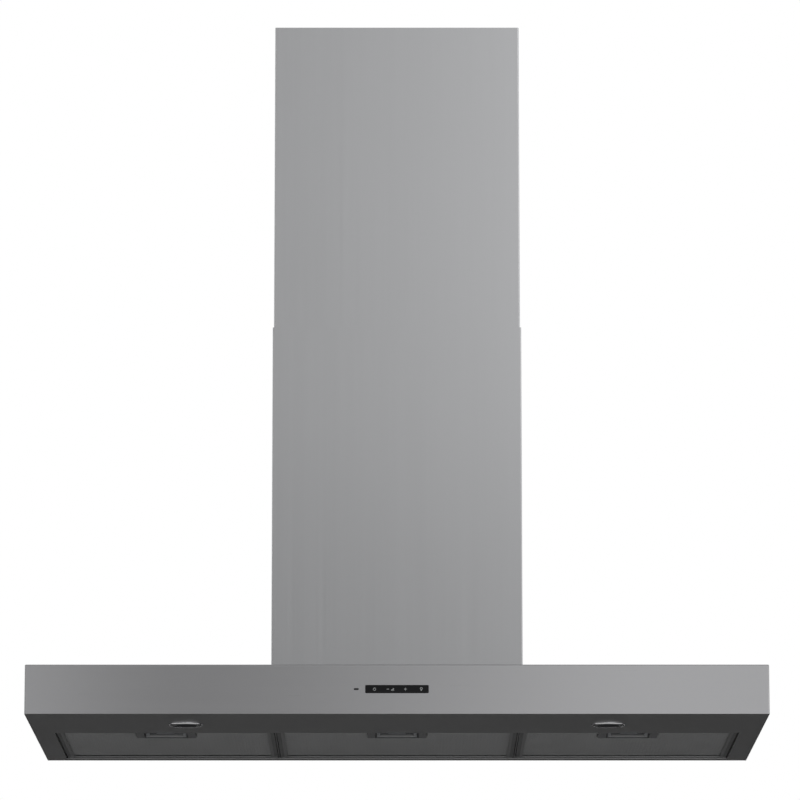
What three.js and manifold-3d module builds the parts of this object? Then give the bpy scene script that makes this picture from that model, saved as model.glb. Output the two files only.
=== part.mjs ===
// Chimney range hood, 898 mm wide, in millimetres.
// Frame: +Z up, the wall is the plane y = 0, the fascia faces -Y, x = 0 is the centre line
// and z = 0 is the lower edge of the canopy.
import * as THREE from 'three';
import { mergeVertices } from 'three/addons/utils/BufferGeometryUtils.js';
import Module from 'manifold-3d';

const wasm = await Module();
wasm.setup();

// ---------------------------------------------------------------- driving dimensions (mm)
// Clearance between two pieces that touch on the real hood.
const SEAT = 0.3;

// Canopy: a thin folded steel box with a drop-in underside.
const CANOPY_WIDTH = 898;
const CANOPY_DEPTH = 450;
const CANOPY_HEIGHT = 60;
const CANOPY_SHEET = 1;
const CANOPY_CORNER_RADIUS = 2;
const REAR_RETURN = 15;

// Underside: the plain strip behind the fascia, the side rails and the lip at the wall.
const FRONT_STRIP = 177;
const SIDE_RAIL = 25.5;
const REAR_LIP = 20;
const UNDERSIDE_FLANGE = 15;
const REAR_FLANGE = 20;
const BULKHEAD_SETBACK = 18;
const BULKHEAD_FOOT = 10;

// Galvanised back plate that hangs on the wall.
const BACK_SHEET = 1;
const BACK_UPRIGHT_WIDTH = 240;
const BACK_UPRIGHT_TOP = 400;
const KEYHOLE_RADIUS = 5.5;
const KEYHOLE_SLOT = 5;
const KEYHOLE_RISE = 7;
const KEYHOLE_SPACING = 180;
const KEYHOLE_DROP = 22;

// Three grease filters side by side.
const CENTRE_BAY = 301;
const FILTER_GAP = 1.5;
const FILTER_THICKNESS = 9;
const FILTER_BORDER = 9;
const FILTER_SHEET = 1.2;
const FILTER_TONGUE = 9;
const FILTER_TONGUE_INSET = 12;
const DIVIDER_STEM = 1.2;
const DIVIDER_FLANGE = 22;
const DIVIDER_SHEET = 1;

// Spring latch on the front edge of each filter.
const LATCH_WIDTH = 74;
const LATCH_DEPTH = 50;
const LATCH_WALL = 1.2;
const LATCH_RAIL = 10;
const GRIP_DEPTH = 21;
const GRIP_SHEET = 1.2;
const GRIP_BAR_WIDTH = 49.4;
const GRIP_BAR_DEPTH = 3;
const GRIP_BAR_HEIGHT = 2;
const GRIP_BAR_LEVEL = 0.4;
const GRIP_BAR_SETBACK = 6;
const GRIP_ARM = 4;
const LATCH_CORNER = 3;
const BOLT_WIDTH = 22;
const BOLT_THICKNESS = 2.4;
const BOLT_REACH = 4;
const BOLT_NOTCH_MARGIN = 1;
const BOLT_WAY_MARGIN = 0.6;
const BOLT_CHAMFER = 1.5;
const BOLT_STEM = 3;
const LATCH_TRAVEL = 6;

// Touch control bar and the small indicator window beside it.
const CONTROL_WIDTH = 76;
const CONTROL_HEIGHT = 9.4;
const CONTROL_CENTRE_Z = 30;
const CONTROL_GLASS_THICKNESS = 3;
const CONTROL_CORNER_RADIUS = 0.8;
const INDICATOR_X = -49;
const INDICATOR_WIDTH = 5.5;
const INDICATOR_HEIGHT = 1.8;
const CONTROL_HOUSING_MARGIN = 7;
const CONTROL_HOUSING_DEPTH = 18;
const CONTROL_HOUSING_HEIGHT = 26;
const CONTROL_HOUSING_WALL = 3;
const BOARD_THICKNESS = 1.6;

// Two round lamps in the front strip.
const LAMP_X = 258;
const LAMP_SETBACK = 95;
const LAMP_BEZEL_RADIUS = 21;
const LAMP_BEZEL_DROP = 2.4;
const LAMP_NECK_RADIUS = 18.5;
const LAMP_NECK_HEIGHT = 7;
const LAMP_LENS_RADIUS = 15.5;
const LAMP_LENS_LIP = 1.5;
const LAMP_LENS_RECESS = 5;
const LAMP_LENS_THICKNESS = 2;
const LAMP_BODY_HEIGHT = 24;
const LAMP_FIN_COUNT = 10;

// Chimney: two telescoping U-shaped covers.
const CHIMNEY_WIDTH = 312;
const CHIMNEY_DEPTH = 270;
const CHIMNEY_SHEET = 0.8;
const CHIMNEY_STEP = 0.7;
const CHIMNEY_RETURN = 15;
const LOWER_CHIMNEY_TOP = 513;
const UPPER_CHIMNEY_TOP = 902;
const CHIMNEY_OVERLAP = 91;
const VENT_COUNT = 6;
const VENT_LENGTH = 90;
const VENT_HEIGHT = 4;
const VENT_PITCH = 11;
const VENT_TOP_MARGIN = 70;
const BRACKET_SHEET = 1.2;
const BRACKET_HEIGHT = 25;
const BRACKET_TOP_MARGIN = 20;
const BRACKET_EAR = 30;
const FOOT_SHEET = 1.5;
const FOOT_HEIGHT = 22;
const FOOT_LEG = 18;
const FOOT_LENGTH = 40;

// Blower box inside the chimney.
const BLOWER_WIDTH = 256;
const BLOWER_DEPTH = 260;
const BLOWER_TOP = 330;
const BLOWER_SHEET = 1;
const BLOWER_FLANGE = 12;

// Double-inlet centrifugal fan.
const FAN_CENTRE_Z = 190;
const IMPELLER_RADIUS = 74;
const IMPELLER_HALF_WIDTH = 52;
const BLADE_COUNT = 30;
const BLADE_DEPTH = 12;
const BLADE_THICKNESS = 1.2;
const BLADE_LEAN = 0.17;
const IMPELLER_DISC = 2;
const IMPELLER_RIM = 3;
const IMPELLER_RIM_WIDTH = 4;
const HUB_RADIUS = 12;
const HUB_LEFT = 14;
const HUB_RIGHT = 12;
const TONGUE_GAP = 4;
const TONGUE_ANGLE = THREE.MathUtils.degToRad(60);
const SCROLL_END_RADIUS = 125;
const VOLUTE_WALL = 2;
const VOLUTE_SIDE_GAP = 8;
const VOLUTE_FRONT_GAP = 2;
const OUTLET_INSET = 2;
const INLET_RADIUS = 57;
const INLET_FLARE = 11;
const INLET_WALL = 2;
const INLET_THROAT = 5;
const SHAFT_RADIUS = 4;
const MOTOR_RADIUS = 44;
const MOTOR_LENGTH = 80;
const MOTOR_BOSS = 4;
const MOTOR_TO_HUB = 2;
const MOTOR_CHAMFER = 8;
const MOTOR_BORE_DEPTH = 14;
const CLAMP_WALL = 4;
const CLAMP_DEPTH = 8;
const ARM_COUNT = 3;
const ARM_WIDTH = 12;
const ARM_THICKNESS = 4;
const ARM_REACH = 84;
const CAPACITOR_RADIUS = 14;
const CAPACITOR_LENGTH = 60;
const CAPACITOR_TERMINAL = 6;
const CAPACITOR_Z = 90;
const CAPACITOR_SETBACK = 30;

// Outlet collar with its two check flaps.
const COLLAR_RADIUS = 75;
const COLLAR_WALL = 2;
const COLLAR_HEIGHT = 57;
const COLLAR_FLANGE = 4;
const COLLAR_FLANGE_THICKNESS = 2;
const LEDGE_HEIGHT = 10;
const LEDGE_WIDTH = 3;
const LEDGE_EDGE = 1.5;
const LEDGE_ROOT = 4;
const FLAP_THICKNESS = 1.4;
const FLAP_GAP = 1;
const PIN_RADIUS = 2;
const KNUCKLE_RADIUS = 4;
const KNUCKLE_LENGTH = 20;

// Electrics above the front strip, and the mains gland.
const JUNCTION_X = [92, 222];
const JUNCTION_SETBACK = [15, 120];
const JUNCTION_HEIGHT = 44;
const JUNCTION_WALL = 2;
const JUNCTION_LID = 2.5;
const JUNCTION_CORNER = 4;
const JUNCTION_WAY_INSET = 25;
const JUNCTION_WAY_RADIUS = 7;
const DRIVER_X = [-220, -110];
const DRIVER_SETBACK = [20, 65];
const DRIVER_HEIGHT = 24;
const DRIVER_CORNER = 3;
const DRIVER_EAR = 11;
const DRIVER_EAR_THICKNESS = 2;
const GLAND_RADIUS = 6;
const GLAND_HEAD_RADIUS = 9.5;
const GLAND_BORE_RADIUS = 3.6;
const GLAND_HEAD_HEIGHT = 14;
const GLAND_NUT_HEIGHT = 5;
const GLAND_SETBACK = 60;

// ---------------------------------------------------------------- derived planes and places
const HALF_WIDTH = CANOPY_WIDTH / 2;
const CANOPY_INNER = HALF_WIDTH - CANOPY_SHEET;
const CANOPY_UNDER_TOP = CANOPY_HEIGHT - CANOPY_SHEET;
const STRIP_REAR = -(CANOPY_DEPTH - FRONT_STRIP);
const OPENING_HALF = HALF_WIDTH - SIDE_RAIL;
const PANEL_TOP = CANOPY_SHEET + SEAT;
const PANEL_HALF = CANOPY_INNER - SEAT;
const PANEL_FRONT = -(CANOPY_DEPTH - CANOPY_SHEET - SEAT);
const PANEL_REAR = -(BACK_SHEET + SEAT);
const COLLARED_EDGE = PANEL_TOP + FILTER_THICKNESS;
const HINGE_Y = -REAR_LIP;
const FILTER_FRONT = STRIP_REAR + FILTER_GAP - HINGE_Y;
const FILTER_REAR = -FILTER_GAP;
const DIVIDER_X = CENTRE_BAY / 2;
const BLOWER_REAR = -(BACK_SHEET + SEAT);
const BLOWER_FRONT = BLOWER_REAR - BLOWER_DEPTH;
const BLOWER_BASE = CANOPY_HEIGHT + SEAT;
const BLOWER_INNER = BLOWER_WIDTH / 2 - BLOWER_SHEET;
const DIFFUSER_FRONT = BLOWER_FRONT + BLOWER_SHEET + VOLUTE_FRONT_GAP + VOLUTE_WALL;
const FAN_Y = DIFFUSER_FRONT + SCROLL_END_RADIUS;
const VOLUTE_TOP = BLOWER_TOP - BLOWER_SHEET - SEAT;
const VOLUTE_HALF = IMPELLER_HALF_WIDTH + VOLUTE_SIDE_GAP;
const VOLUTE_OUTER = VOLUTE_HALF + VOLUTE_WALL;
const TONGUE_RADIUS = IMPELLER_RADIUS + TONGUE_GAP;
const DUCT_RADIUS = COLLAR_RADIUS - COLLAR_WALL;
const COLLAR_Y = DIFFUSER_FRONT + DUCT_RADIUS + OUTLET_INSET;
const COLLAR_BASE = BLOWER_TOP + SEAT;
const LOWER_INNER = CHIMNEY_WIDTH / 2 - CHIMNEY_SHEET;
const UPPER_HALF = LOWER_INNER - CHIMNEY_STEP;
const UPPER_INNER = UPPER_HALF - CHIMNEY_SHEET;
const UPPER_FRONT = -(CHIMNEY_DEPTH - CHIMNEY_SHEET - CHIMNEY_STEP);
const UPPER_REAR = -(CHIMNEY_SHEET + CHIMNEY_STEP);
const UPPER_BASE = LOWER_CHIMNEY_TOP - CHIMNEY_OVERLAP;
const LAMP_Y = -(CANOPY_DEPTH - LAMP_SETBACK);

// ---------------------------------------------------------------- materials
const FINISHES = {
  brushedSteel: { color: 0xa3a4a6, roughness: 0.36, metalness: 1 },
  undersideSteel: { color: 0x97989a, roughness: 0.42, metalness: 1 },
  galvanised: { color: 0xaeb2b5, roughness: 0.52, metalness: 1 },
  aluminium: { color: 0xb9bbbd, roughness: 0.45, metalness: 1 },
  meshAluminium: { color: 0x8e9092, roughness: 0.5, metalness: 1 },
  chrome: { color: 0xd8d9da, roughness: 0.12, metalness: 1 },
  machinedSteel: { color: 0x8c8e90, roughness: 0.3, metalness: 1 },
  blackGlass: { color: 0x101113, roughness: 0.08, metalness: 0 },
  blackPlastic: { color: 0x1c1d1f, roughness: 0.55, metalness: 0 },
  greyPlastic: { color: 0x55585b, roughness: 0.5, metalness: 0 },
  lightPlastic: { color: 0xc9cccd, roughness: 0.5, metalness: 0 },
  whitePlastic: { color: 0xe4e4e0, roughness: 0.45, metalness: 0 },
  smokedLens: { color: 0x1c1d1e, roughness: 0.2, metalness: 0 },
  circuitGreen: { color: 0x1f5a38, roughness: 0.5, metalness: 0 },
};

// ---------------------------------------------------------------- solids from geometry
function dropFlatTriangles(index) {
  const kept = [];
  for (let i = 0; i < index.length; i += 3) {
    const [a, b, c] = [index[i], index[i + 1], index[i + 2]];
    if (a !== b && b !== c && c !== a) {
      kept.push(a, b, c);
    }
  }
  return kept;
}

function signedVolume(position, index) {
  const a = new THREE.Vector3();
  const b = new THREE.Vector3();
  const c = new THREE.Vector3();
  let total = 0;
  for (let i = 0; i < index.length; i += 3) {
    a.fromArray(position, index[i] * 3);
    b.fromArray(position, index[i + 1] * 3);
    c.fromArray(position, index[i + 2] * 3);
    total += a.dot(b.cross(c)) / 6;
  }
  return total;
}

// A closed BufferGeometry as a solid that faces outwards.
function solid(geometry) {
  geometry.deleteAttribute('normal');
  geometry.deleteAttribute('uv');
  const merged = mergeVertices(geometry, 1e-4);
  const position = merged.getAttribute('position').array;
  const index = dropFlatTriangles(merged.getIndex().array);
  if (signedVolume(position, index) < 0) {
    index.reverse();
  }
  const triVerts = new Uint32Array(index);
  return new wasm.Manifold(new wasm.Mesh({ numProp: 3, vertProperties: position, triVerts }));
}

function surface(body) {
  const mesh = body.getMesh();
  const geometry = new THREE.BufferGeometry();
  geometry.setAttribute('position', new THREE.BufferAttribute(mesh.vertProperties, 3));
  geometry.setIndex(new THREE.BufferAttribute(mesh.triVerts, 1));
  geometry.computeVertexNormals();
  return geometry;
}

// A copy of a body moved by a matrix; a mirrored copy is faced outwards again.
function placed(body, matrix) {
  return solid(surface(body).applyMatrix4(matrix));
}

function turned(body, axis, degrees) {
  const direction = axis === 'x' ? new THREE.Vector3(1, 0, 0) : new THREE.Vector3(0, 0, 1);
  const angle = THREE.MathUtils.degToRad(degrees);
  return placed(body, new THREE.Matrix4().makeRotationAxis(direction, angle));
}

function mirroredBody(body) {
  return placed(body, new THREE.Matrix4().makeScale(-1, 1, 1));
}

function joined(bodies) {
  return bodies.reduce((whole, body) => whole.add(body));
}

function cut(body, tools) {
  return tools.reduce((rest, tool) => rest.subtract(tool), body);
}

function block([x0, x1], [y0, y1], [z0, z1]) {
  const geometry = new THREE.BoxGeometry(x1 - x0, y1 - y0, z1 - z0);
  geometry.translate((x0 + x1) / 2, (y0 + y1) / 2, (z0 + z1) / 2);
  return solid(geometry);
}

// An outline in the plane square to an axis, drawn out along that axis.
// Outlines are (x, y) for z, (y, z) for x and (x, z) for y.
function prism(axis, outline, start, end) {
  const shape = new THREE.Shape(outline.map(([u, v]) => new THREE.Vector2(u, v)));
  const geometry = new THREE.ExtrudeGeometry(shape, { depth: end - start, bevelEnabled: false });
  const x = new THREE.Vector3(1, 0, 0);
  const y = new THREE.Vector3(0, 1, 0);
  const z = new THREE.Vector3(0, 0, 1);
  const turn = new THREE.Matrix4();
  if (axis === 'x') {
    geometry.translate(0, 0, start);
    turn.makeBasis(y, z, x);
  } else if (axis === 'y') {
    geometry.translate(0, 0, -end);
    turn.makeBasis(x, z, y.clone().negate());
  } else {
    geometry.translate(0, 0, start);
  }
  geometry.applyMatrix4(turn);
  return solid(geometry);
}

// A closed (radius, height) profile turned about an axis through the origin.
function revolve(axis, profile, segments) {
  const points = [...profile, profile[0]].map(([r, h]) => new THREE.Vector2(r, h));
  const geometry = new THREE.LatheGeometry(points, segments);
  if (axis === 'x') {
    geometry.rotateZ(-Math.PI / 2);
  } else {
    geometry.rotateX(Math.PI / 2);
  }
  return solid(geometry);
}

// ---------------------------------------------------------------- outlines
function circle(cu, cv, radius, segments = 32) {
  const points = [];
  for (let i = 0; i < segments; i += 1) {
    const angle = (i / segments) * 2 * Math.PI;
    points.push([cu + radius * Math.cos(angle), cv + radius * Math.sin(angle)]);
  }
  return points;
}

function rectangle([u0, u1], [v0, v1]) {
  return [[u0, v0], [u1, v0], [u1, v1], [u0, v1]];
}

function roundedRectangle([u0, u1], [v0, v1], radius, steps = 4) {
  const corners = [
    [u1 - radius, v0 + radius, -Math.PI / 2],
    [u1 - radius, v1 - radius, 0],
    [u0 + radius, v1 - radius, Math.PI / 2],
    [u0 + radius, v0 + radius, Math.PI],
  ];
  const points = [];
  for (const [cu, cv, from] of corners) {
    for (let i = 0; i <= steps; i += 1) {
      const angle = from + (i / steps) * (Math.PI / 2);
      points.push([cu + radius * Math.cos(angle), cv + radius * Math.sin(angle)]);
    }
  }
  return points;
}

// Outline of the canopy from above: square at the wall, rounded at the two front corners.
function canopyOutline(half, front, rear, radius) {
  const points = [[half, rear], [-half, rear]];
  const steps = 4;
  for (let i = 0; i <= steps; i += 1) {
    const angle = Math.PI + (i / steps) * (Math.PI / 2);
    points.push([-half + radius + radius * Math.cos(angle), front + radius + radius * Math.sin(angle)]);
  }
  for (let i = 0; i <= steps; i += 1) {
    const angle = -Math.PI / 2 + (i / steps) * (Math.PI / 2);
    points.push([half - radius + radius * Math.cos(angle), front + radius + radius * Math.sin(angle)]);
  }
  return points;
}

// The crossing of two lines, each a point and a direction.
function crossing([px, py], [dx, dy], [qx, qy], [ex, ey]) {
  const det = dx * ey - dy * ex;
  const t = ((qx - px) * ey - (qy - py) * ex) / det;
  return [px + t * dx, py + t * dy];
}

// A polyline moved to its left by a distance, with mitred corners.
function movedLeft(path, distance) {
  const lines = [];
  for (let i = 0; i + 1 < path.length; i += 1) {
    const [ax, ay] = path[i];
    const [bx, by] = path[i + 1];
    const length = Math.hypot(bx - ax, by - ay);
    const direction = [(bx - ax) / length, (by - ay) / length];
    const shift = [-direction[1] * distance, direction[0] * distance];
    lines.push({ from: [ax + shift[0], ay + shift[1]], to: [bx + shift[0], by + shift[1]], direction });
  }
  const moved = [lines[0].from];
  for (let i = 0; i + 1 < lines.length; i += 1) {
    moved.push(crossing(lines[i].from, lines[i].direction, lines[i + 1].from, lines[i + 1].direction));
  }
  moved.push(lines[lines.length - 1].to);
  return moved;
}

// Section of a folded sheet: the path is one face, the thickness lies to its left.
function foldedSheet(path, thickness) {
  return [...path, ...movedLeft(path, thickness).reverse()];
}

function mirrored(path) {
  return path.map(([u, v]) => [-u, v]).reverse();
}

// ---------------------------------------------------------------- canopy
function canopyShell() {
  const edge = canopyOutline(HALF_WIDTH, -CANOPY_DEPTH, 0, CANOPY_CORNER_RADIUS);
  const outer = prism('z', edge, 0, CANOPY_HEIGHT);
  const innerRadius = Math.max(CANOPY_CORNER_RADIUS - CANOPY_SHEET, 0.2);
  const hollow = canopyOutline(CANOPY_INNER, -CANOPY_DEPTH + CANOPY_SHEET, 1, innerRadius);
  const returns = [-1, 1].map((side) => {
    const ends = [side * (CANOPY_INNER - REAR_RETURN), side * (CANOPY_INNER + CANOPY_SHEET / 2)];
    ends.sort((a, b) => a - b);
    const levels = [PANEL_TOP, CANOPY_UNDER_TOP + CANOPY_SHEET / 2];
    return block(ends, [PANEL_REAR - CANOPY_SHEET, PANEL_REAR], levels);
  });
  const airOpening = block(
    [-(BLOWER_INNER - BLOWER_FLANGE), BLOWER_INNER - BLOWER_FLANGE],
    [BLOWER_FRONT + BLOWER_FLANGE, BLOWER_REAR - BLOWER_FLANGE],
    [CANOPY_UNDER_TOP - 1, CANOPY_HEIGHT + 1],
  );
  const uprightNotch = block(
    [-(BACK_UPRIGHT_WIDTH / 2 + SEAT), BACK_UPRIGHT_WIDTH / 2 + SEAT],
    [PANEL_REAR, 1],
    [CANOPY_UNDER_TOP - 1, CANOPY_HEIGHT + 1],
  );
  const front = -CANOPY_DEPTH - 1;
  const back = -CANOPY_DEPTH + CANOPY_SHEET + 1;
  const glassWindow = prism('y', controlOutline(SEAT), front, back);
  const indicatorHole = prism('y', indicatorOutline(SEAT), front, back);
  const glandHole = prism(
    'z',
    circle(glandX(), -GLAND_SETBACK, GLAND_RADIUS + SEAT, 16),
    CANOPY_UNDER_TOP - 1,
    CANOPY_HEIGHT + 1,
  );
  const box = joined([outer.subtract(prism('z', hollow, -1, CANOPY_UNDER_TOP)), ...returns]);
  return cut(box, [airOpening, uprightNotch, glassWindow, indicatorHole, glandHole]);
}

// The underside: a shallow tray with its edges turned up inside the canopy.
function intakePanel() {
  const lip = CANOPY_SHEET;
  const plate = block([-PANEL_HALF, PANEL_HALF], [PANEL_FRONT, PANEL_REAR], [0, CANOPY_SHEET]);
  const sideFlanges = [-1, 1].map((side) => {
    const ends = [side * PANEL_HALF, side * (PANEL_HALF - lip)].sort((a, b) => a - b);
    return block(ends, [PANEL_FRONT, PANEL_REAR - CANOPY_SHEET - SEAT], [0, UNDERSIDE_FLANGE]);
  });
  const frontFlange = block(
    [-PANEL_HALF, PANEL_HALF],
    [PANEL_FRONT, PANEL_FRONT + lip],
    [0, UNDERSIDE_FLANGE],
  );
  const rearHalf = CANOPY_INNER - REAR_RETURN - SEAT;
  const rearFlange = block([-rearHalf, rearHalf], [PANEL_REAR - lip, PANEL_REAR], [0, REAR_FLANGE]);
  const edge = block(
    [-OPENING_HALF - lip, OPENING_HALF + lip],
    [STRIP_REAR - lip, -REAR_LIP],
    [0, COLLARED_EDGE],
  );
  const opening = block([-OPENING_HALF, OPENING_HALF], [STRIP_REAR, -REAR_LIP], [-1, COLLARED_EDGE + 1]);
  const lipRelief = block(
    [-OPENING_HALF - lip - 1, OPENING_HALF + lip + 1],
    [-REAR_LIP - lip, -REAR_LIP + 1],
    [CANOPY_SHEET, COLLARED_EDGE + 1],
  );
  const boltNotches = filterBays().map(({ centre }) => block(
    [centre - BOLT_WIDTH / 2 - BOLT_NOTCH_MARGIN, centre + BOLT_WIDTH / 2 + BOLT_NOTCH_MARGIN],
    [STRIP_REAR - BOLT_REACH - BOLT_NOTCH_MARGIN, STRIP_REAR + 1],
    [-1, PANEL_TOP + BOLT_THICKNESS + BOLT_NOTCH_MARGIN],
  ));
  const lampHoles = [-1, 1].map((side) => prism(
    'z',
    circle(side * LAMP_X, LAMP_Y, LAMP_NECK_RADIUS + SEAT, 28),
    -1,
    CANOPY_SHEET + 1,
  ));
  const tray = joined([plate, ...sideFlanges, frontFlange, rearFlange, edge.subtract(lipRelief)]);
  return cut(tray, [opening, ...boltNotches, ...lampHoles]);
}

// Sheet wall that closes the electrics off from the air path; its foot lies on the strip.
function innerBulkhead() {
  const face = STRIP_REAR - BULKHEAD_SETBACK;
  const path = [
    [face - CANOPY_SHEET - BULKHEAD_FOOT, PANEL_TOP],
    [face, PANEL_TOP],
    [face, CANOPY_UNDER_TOP - SEAT],
  ];
  const half = PANEL_HALF - CANOPY_SHEET - SEAT;
  return prism('x', foldedSheet(path, CANOPY_SHEET), -half, half);
}

function keyhole(x, z) {
  const tipZ = z + KEYHOLE_RADIUS + KEYHOLE_RISE;
  const slot = rectangle([x - KEYHOLE_SLOT / 2, x + KEYHOLE_SLOT / 2], [z, tipZ]);
  const round = prism('y', circle(x, z, KEYHOLE_RADIUS, 24), -BACK_SHEET - 1, 1);
  const tip = prism('y', circle(x, tipZ, KEYHOLE_SLOT / 2, 16), -BACK_SHEET - 1, 1);
  return joined([round, prism('y', slot, -BACK_SHEET - 1, 1), tip]);
}

// T-shaped plate flat on the wall, its upright hidden in the chimney.
function backPanel() {
  const foot = block([-PANEL_HALF, PANEL_HALF], [-BACK_SHEET, 0], [CANOPY_SHEET, CANOPY_UNDER_TOP - SEAT]);
  const upright = block(
    [-BACK_UPRIGHT_WIDTH / 2, BACK_UPRIGHT_WIDTH / 2],
    [-BACK_SHEET, 0],
    [CANOPY_SHEET, BACK_UPRIGHT_TOP],
  );
  const holes = [-1, 1].flatMap((side) => [
    keyhole((side * KEYHOLE_SPACING) / 2, BACK_UPRIGHT_TOP - KEYHOLE_DROP - KEYHOLE_RADIUS - KEYHOLE_RISE),
    keyhole(side * (PANEL_HALF - 2 * SIDE_RAIL), CANOPY_HEIGHT / 2),
  ]);
  return cut(foot.add(upright), holes);
}

// ---------------------------------------------------------------- controls
function controlOutline(margin) {
  const halfWidth = CONTROL_WIDTH / 2 + margin;
  const halfHeight = CONTROL_HEIGHT / 2 + margin;
  return roundedRectangle(
    [-halfWidth, halfWidth],
    [CONTROL_CENTRE_Z - halfHeight, CONTROL_CENTRE_Z + halfHeight],
    CONTROL_CORNER_RADIUS + margin,
    2,
  );
}

function indicatorOutline(margin) {
  const halfWidth = INDICATOR_WIDTH / 2 + margin;
  const halfHeight = INDICATOR_HEIGHT / 2 + margin;
  return roundedRectangle(
    [INDICATOR_X - halfWidth, INDICATOR_X + halfWidth],
    [CONTROL_CENTRE_Z - halfHeight, CONTROL_CENTRE_Z + halfHeight],
    halfHeight * 0.9,
    3,
  );
}

function controlGlass() {
  return prism('y', controlOutline(0), -CANOPY_DEPTH, -CANOPY_DEPTH + CONTROL_GLASS_THICKNESS);
}

function indicatorWindow() {
  return prism('y', indicatorOutline(0), -CANOPY_DEPTH, -CANOPY_DEPTH + CONTROL_GLASS_THICKNESS);
}

function controlHousingEnds() {
  return [
    INDICATOR_X - INDICATOR_WIDTH / 2 - CONTROL_HOUSING_MARGIN,
    CONTROL_WIDTH / 2 + CONTROL_HOUSING_MARGIN,
  ];
}

function controlHousingLevels() {
  return [CONTROL_CENTRE_Z - CONTROL_HOUSING_HEIGHT / 2, CONTROL_CENTRE_Z + CONTROL_HOUSING_HEIGHT / 2];
}

// Moulded carrier behind the fascia; glass and window seat in its face, the board in its back.
function controlHousing() {
  const front = -CANOPY_DEPTH + CANOPY_SHEET + SEAT;
  const rear = front + CONTROL_HOUSING_DEPTH;
  const [x0, x1] = controlHousingEnds();
  const [z0, z1] = controlHousingLevels();
  const glassBack = -CANOPY_DEPTH + CONTROL_GLASS_THICKNESS + SEAT;
  const wall = CONTROL_HOUSING_WALL;
  const body = prism('y', roundedRectangle([x0, x1], [z0, z1], wall, 3), front, rear);
  const boardPocket = block(
    [x0 + wall, x1 - wall],
    [glassBack + wall, rear + 1],
    [z0 + wall, z1 - wall],
  );
  const glassPocket = prism('y', controlOutline(SEAT), front - 1, glassBack);
  const windowPocket = prism('y', indicatorOutline(SEAT), front - 1, glassBack);
  return cut(body, [boardPocket, glassPocket, windowPocket]);
}

function controlBoard() {
  const [x0, x1] = controlHousingEnds();
  const [z0, z1] = controlHousingLevels();
  const inset = CONTROL_HOUSING_WALL + SEAT;
  const front = -CANOPY_DEPTH + CONTROL_GLASS_THICKNESS + SEAT + inset;
  return block([x0 + inset, x1 - inset], [front, front + BOARD_THICKNESS], [z0 + inset, z1 - inset]);
}

// ---------------------------------------------------------------- lamps (about their own axis)
function lampBezel() {
  const inner = LAMP_LENS_RADIUS + SEAT;
  return revolve('z', [
    [LAMP_LENS_RADIUS - LAMP_LENS_LIP, -LAMP_BEZEL_DROP + 0.4],
    [LAMP_LENS_RADIUS - LAMP_LENS_LIP + 0.5, -LAMP_BEZEL_DROP],
    [LAMP_BEZEL_RADIUS - 1, -LAMP_BEZEL_DROP],
    [LAMP_BEZEL_RADIUS, -LAMP_BEZEL_DROP + 0.6],
    [LAMP_BEZEL_RADIUS, -SEAT],
    [LAMP_NECK_RADIUS, -SEAT],
    [LAMP_NECK_RADIUS, LAMP_NECK_HEIGHT],
    [inner, LAMP_NECK_HEIGHT],
    [inner, -LAMP_BEZEL_DROP + LAMP_LENS_RECESS],
    [LAMP_LENS_RADIUS - LAMP_LENS_LIP, -LAMP_BEZEL_DROP + LAMP_LENS_RECESS],
  ], 28);
}

function lampLens() {
  const base = -LAMP_BEZEL_DROP + LAMP_LENS_RECESS + SEAT;
  return revolve('z', [
    [0, base],
    [LAMP_LENS_RADIUS, base],
    [LAMP_LENS_RADIUS, base + LAMP_LENS_THICKNESS],
    [0, base + LAMP_LENS_THICKNESS],
  ], 28);
}

// Finned heat sink that sits on the neck of the bezel.
function lampBody() {
  const base = LAMP_NECK_HEIGHT + SEAT;
  const top = base + LAMP_BODY_HEIGHT;
  const core = prism('z', circle(0, 0, LAMP_NECK_RADIUS * 0.55, 20), base, top);
  const plate = prism('z', circle(0, 0, LAMP_NECK_RADIUS, 32), base, base + 3);
  const fins = [];
  for (let i = 0; i < LAMP_FIN_COUNT; i += 1) {
    const fin = block([LAMP_NECK_RADIUS * 0.4, LAMP_NECK_RADIUS], [-0.8, 0.8], [base, top]);
    fins.push(turned(fin, 'z', (360 * i) / LAMP_FIN_COUNT));
  }
  return joined([core, plate, ...fins]);
}

// ---------------------------------------------------------------- grease filters
function filterBays() {
  const sideWidth = OPENING_HALF - DIVIDER_X;
  const sideCentre = (OPENING_HALF + DIVIDER_X) / 2;
  return [
    { side: 'left', centre: -sideCentre, width: sideWidth },
    { side: 'centre', centre: 0, width: 2 * DIVIDER_X },
    { side: 'right', centre: sideCentre, width: sideWidth },
  ];
}

// Hanging T bar between two filters, lying on the turned-up edge of the underside.
function filterDivider() {
  const base = COLLARED_EDGE + SEAT;
  const top = base + DIVIDER_SHEET;
  const stem = rectangle([-DIVIDER_STEM / 2, DIVIDER_STEM / 2], [PANEL_TOP, top]);
  const flange = rectangle([-DIVIDER_FLANGE / 2, DIVIDER_FLANGE / 2], [base, top]);
  const rear = PANEL_REAR - CANOPY_SHEET - SEAT;
  const front = STRIP_REAR - BULKHEAD_SETBACK + SEAT;
  const bar = prism('y', flange, front, rear);
  return bar.add(prism('y', stem, STRIP_REAR + SEAT, -REAR_LIP - SEAT));
}

// The filter pieces are drawn about the hinge line: x across, y = 0 at the lip's edge and
// z = 0 at the filter's lower face.
function latchFront() {
  return FILTER_FRONT + FILTER_BORDER + SEAT;
}

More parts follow.
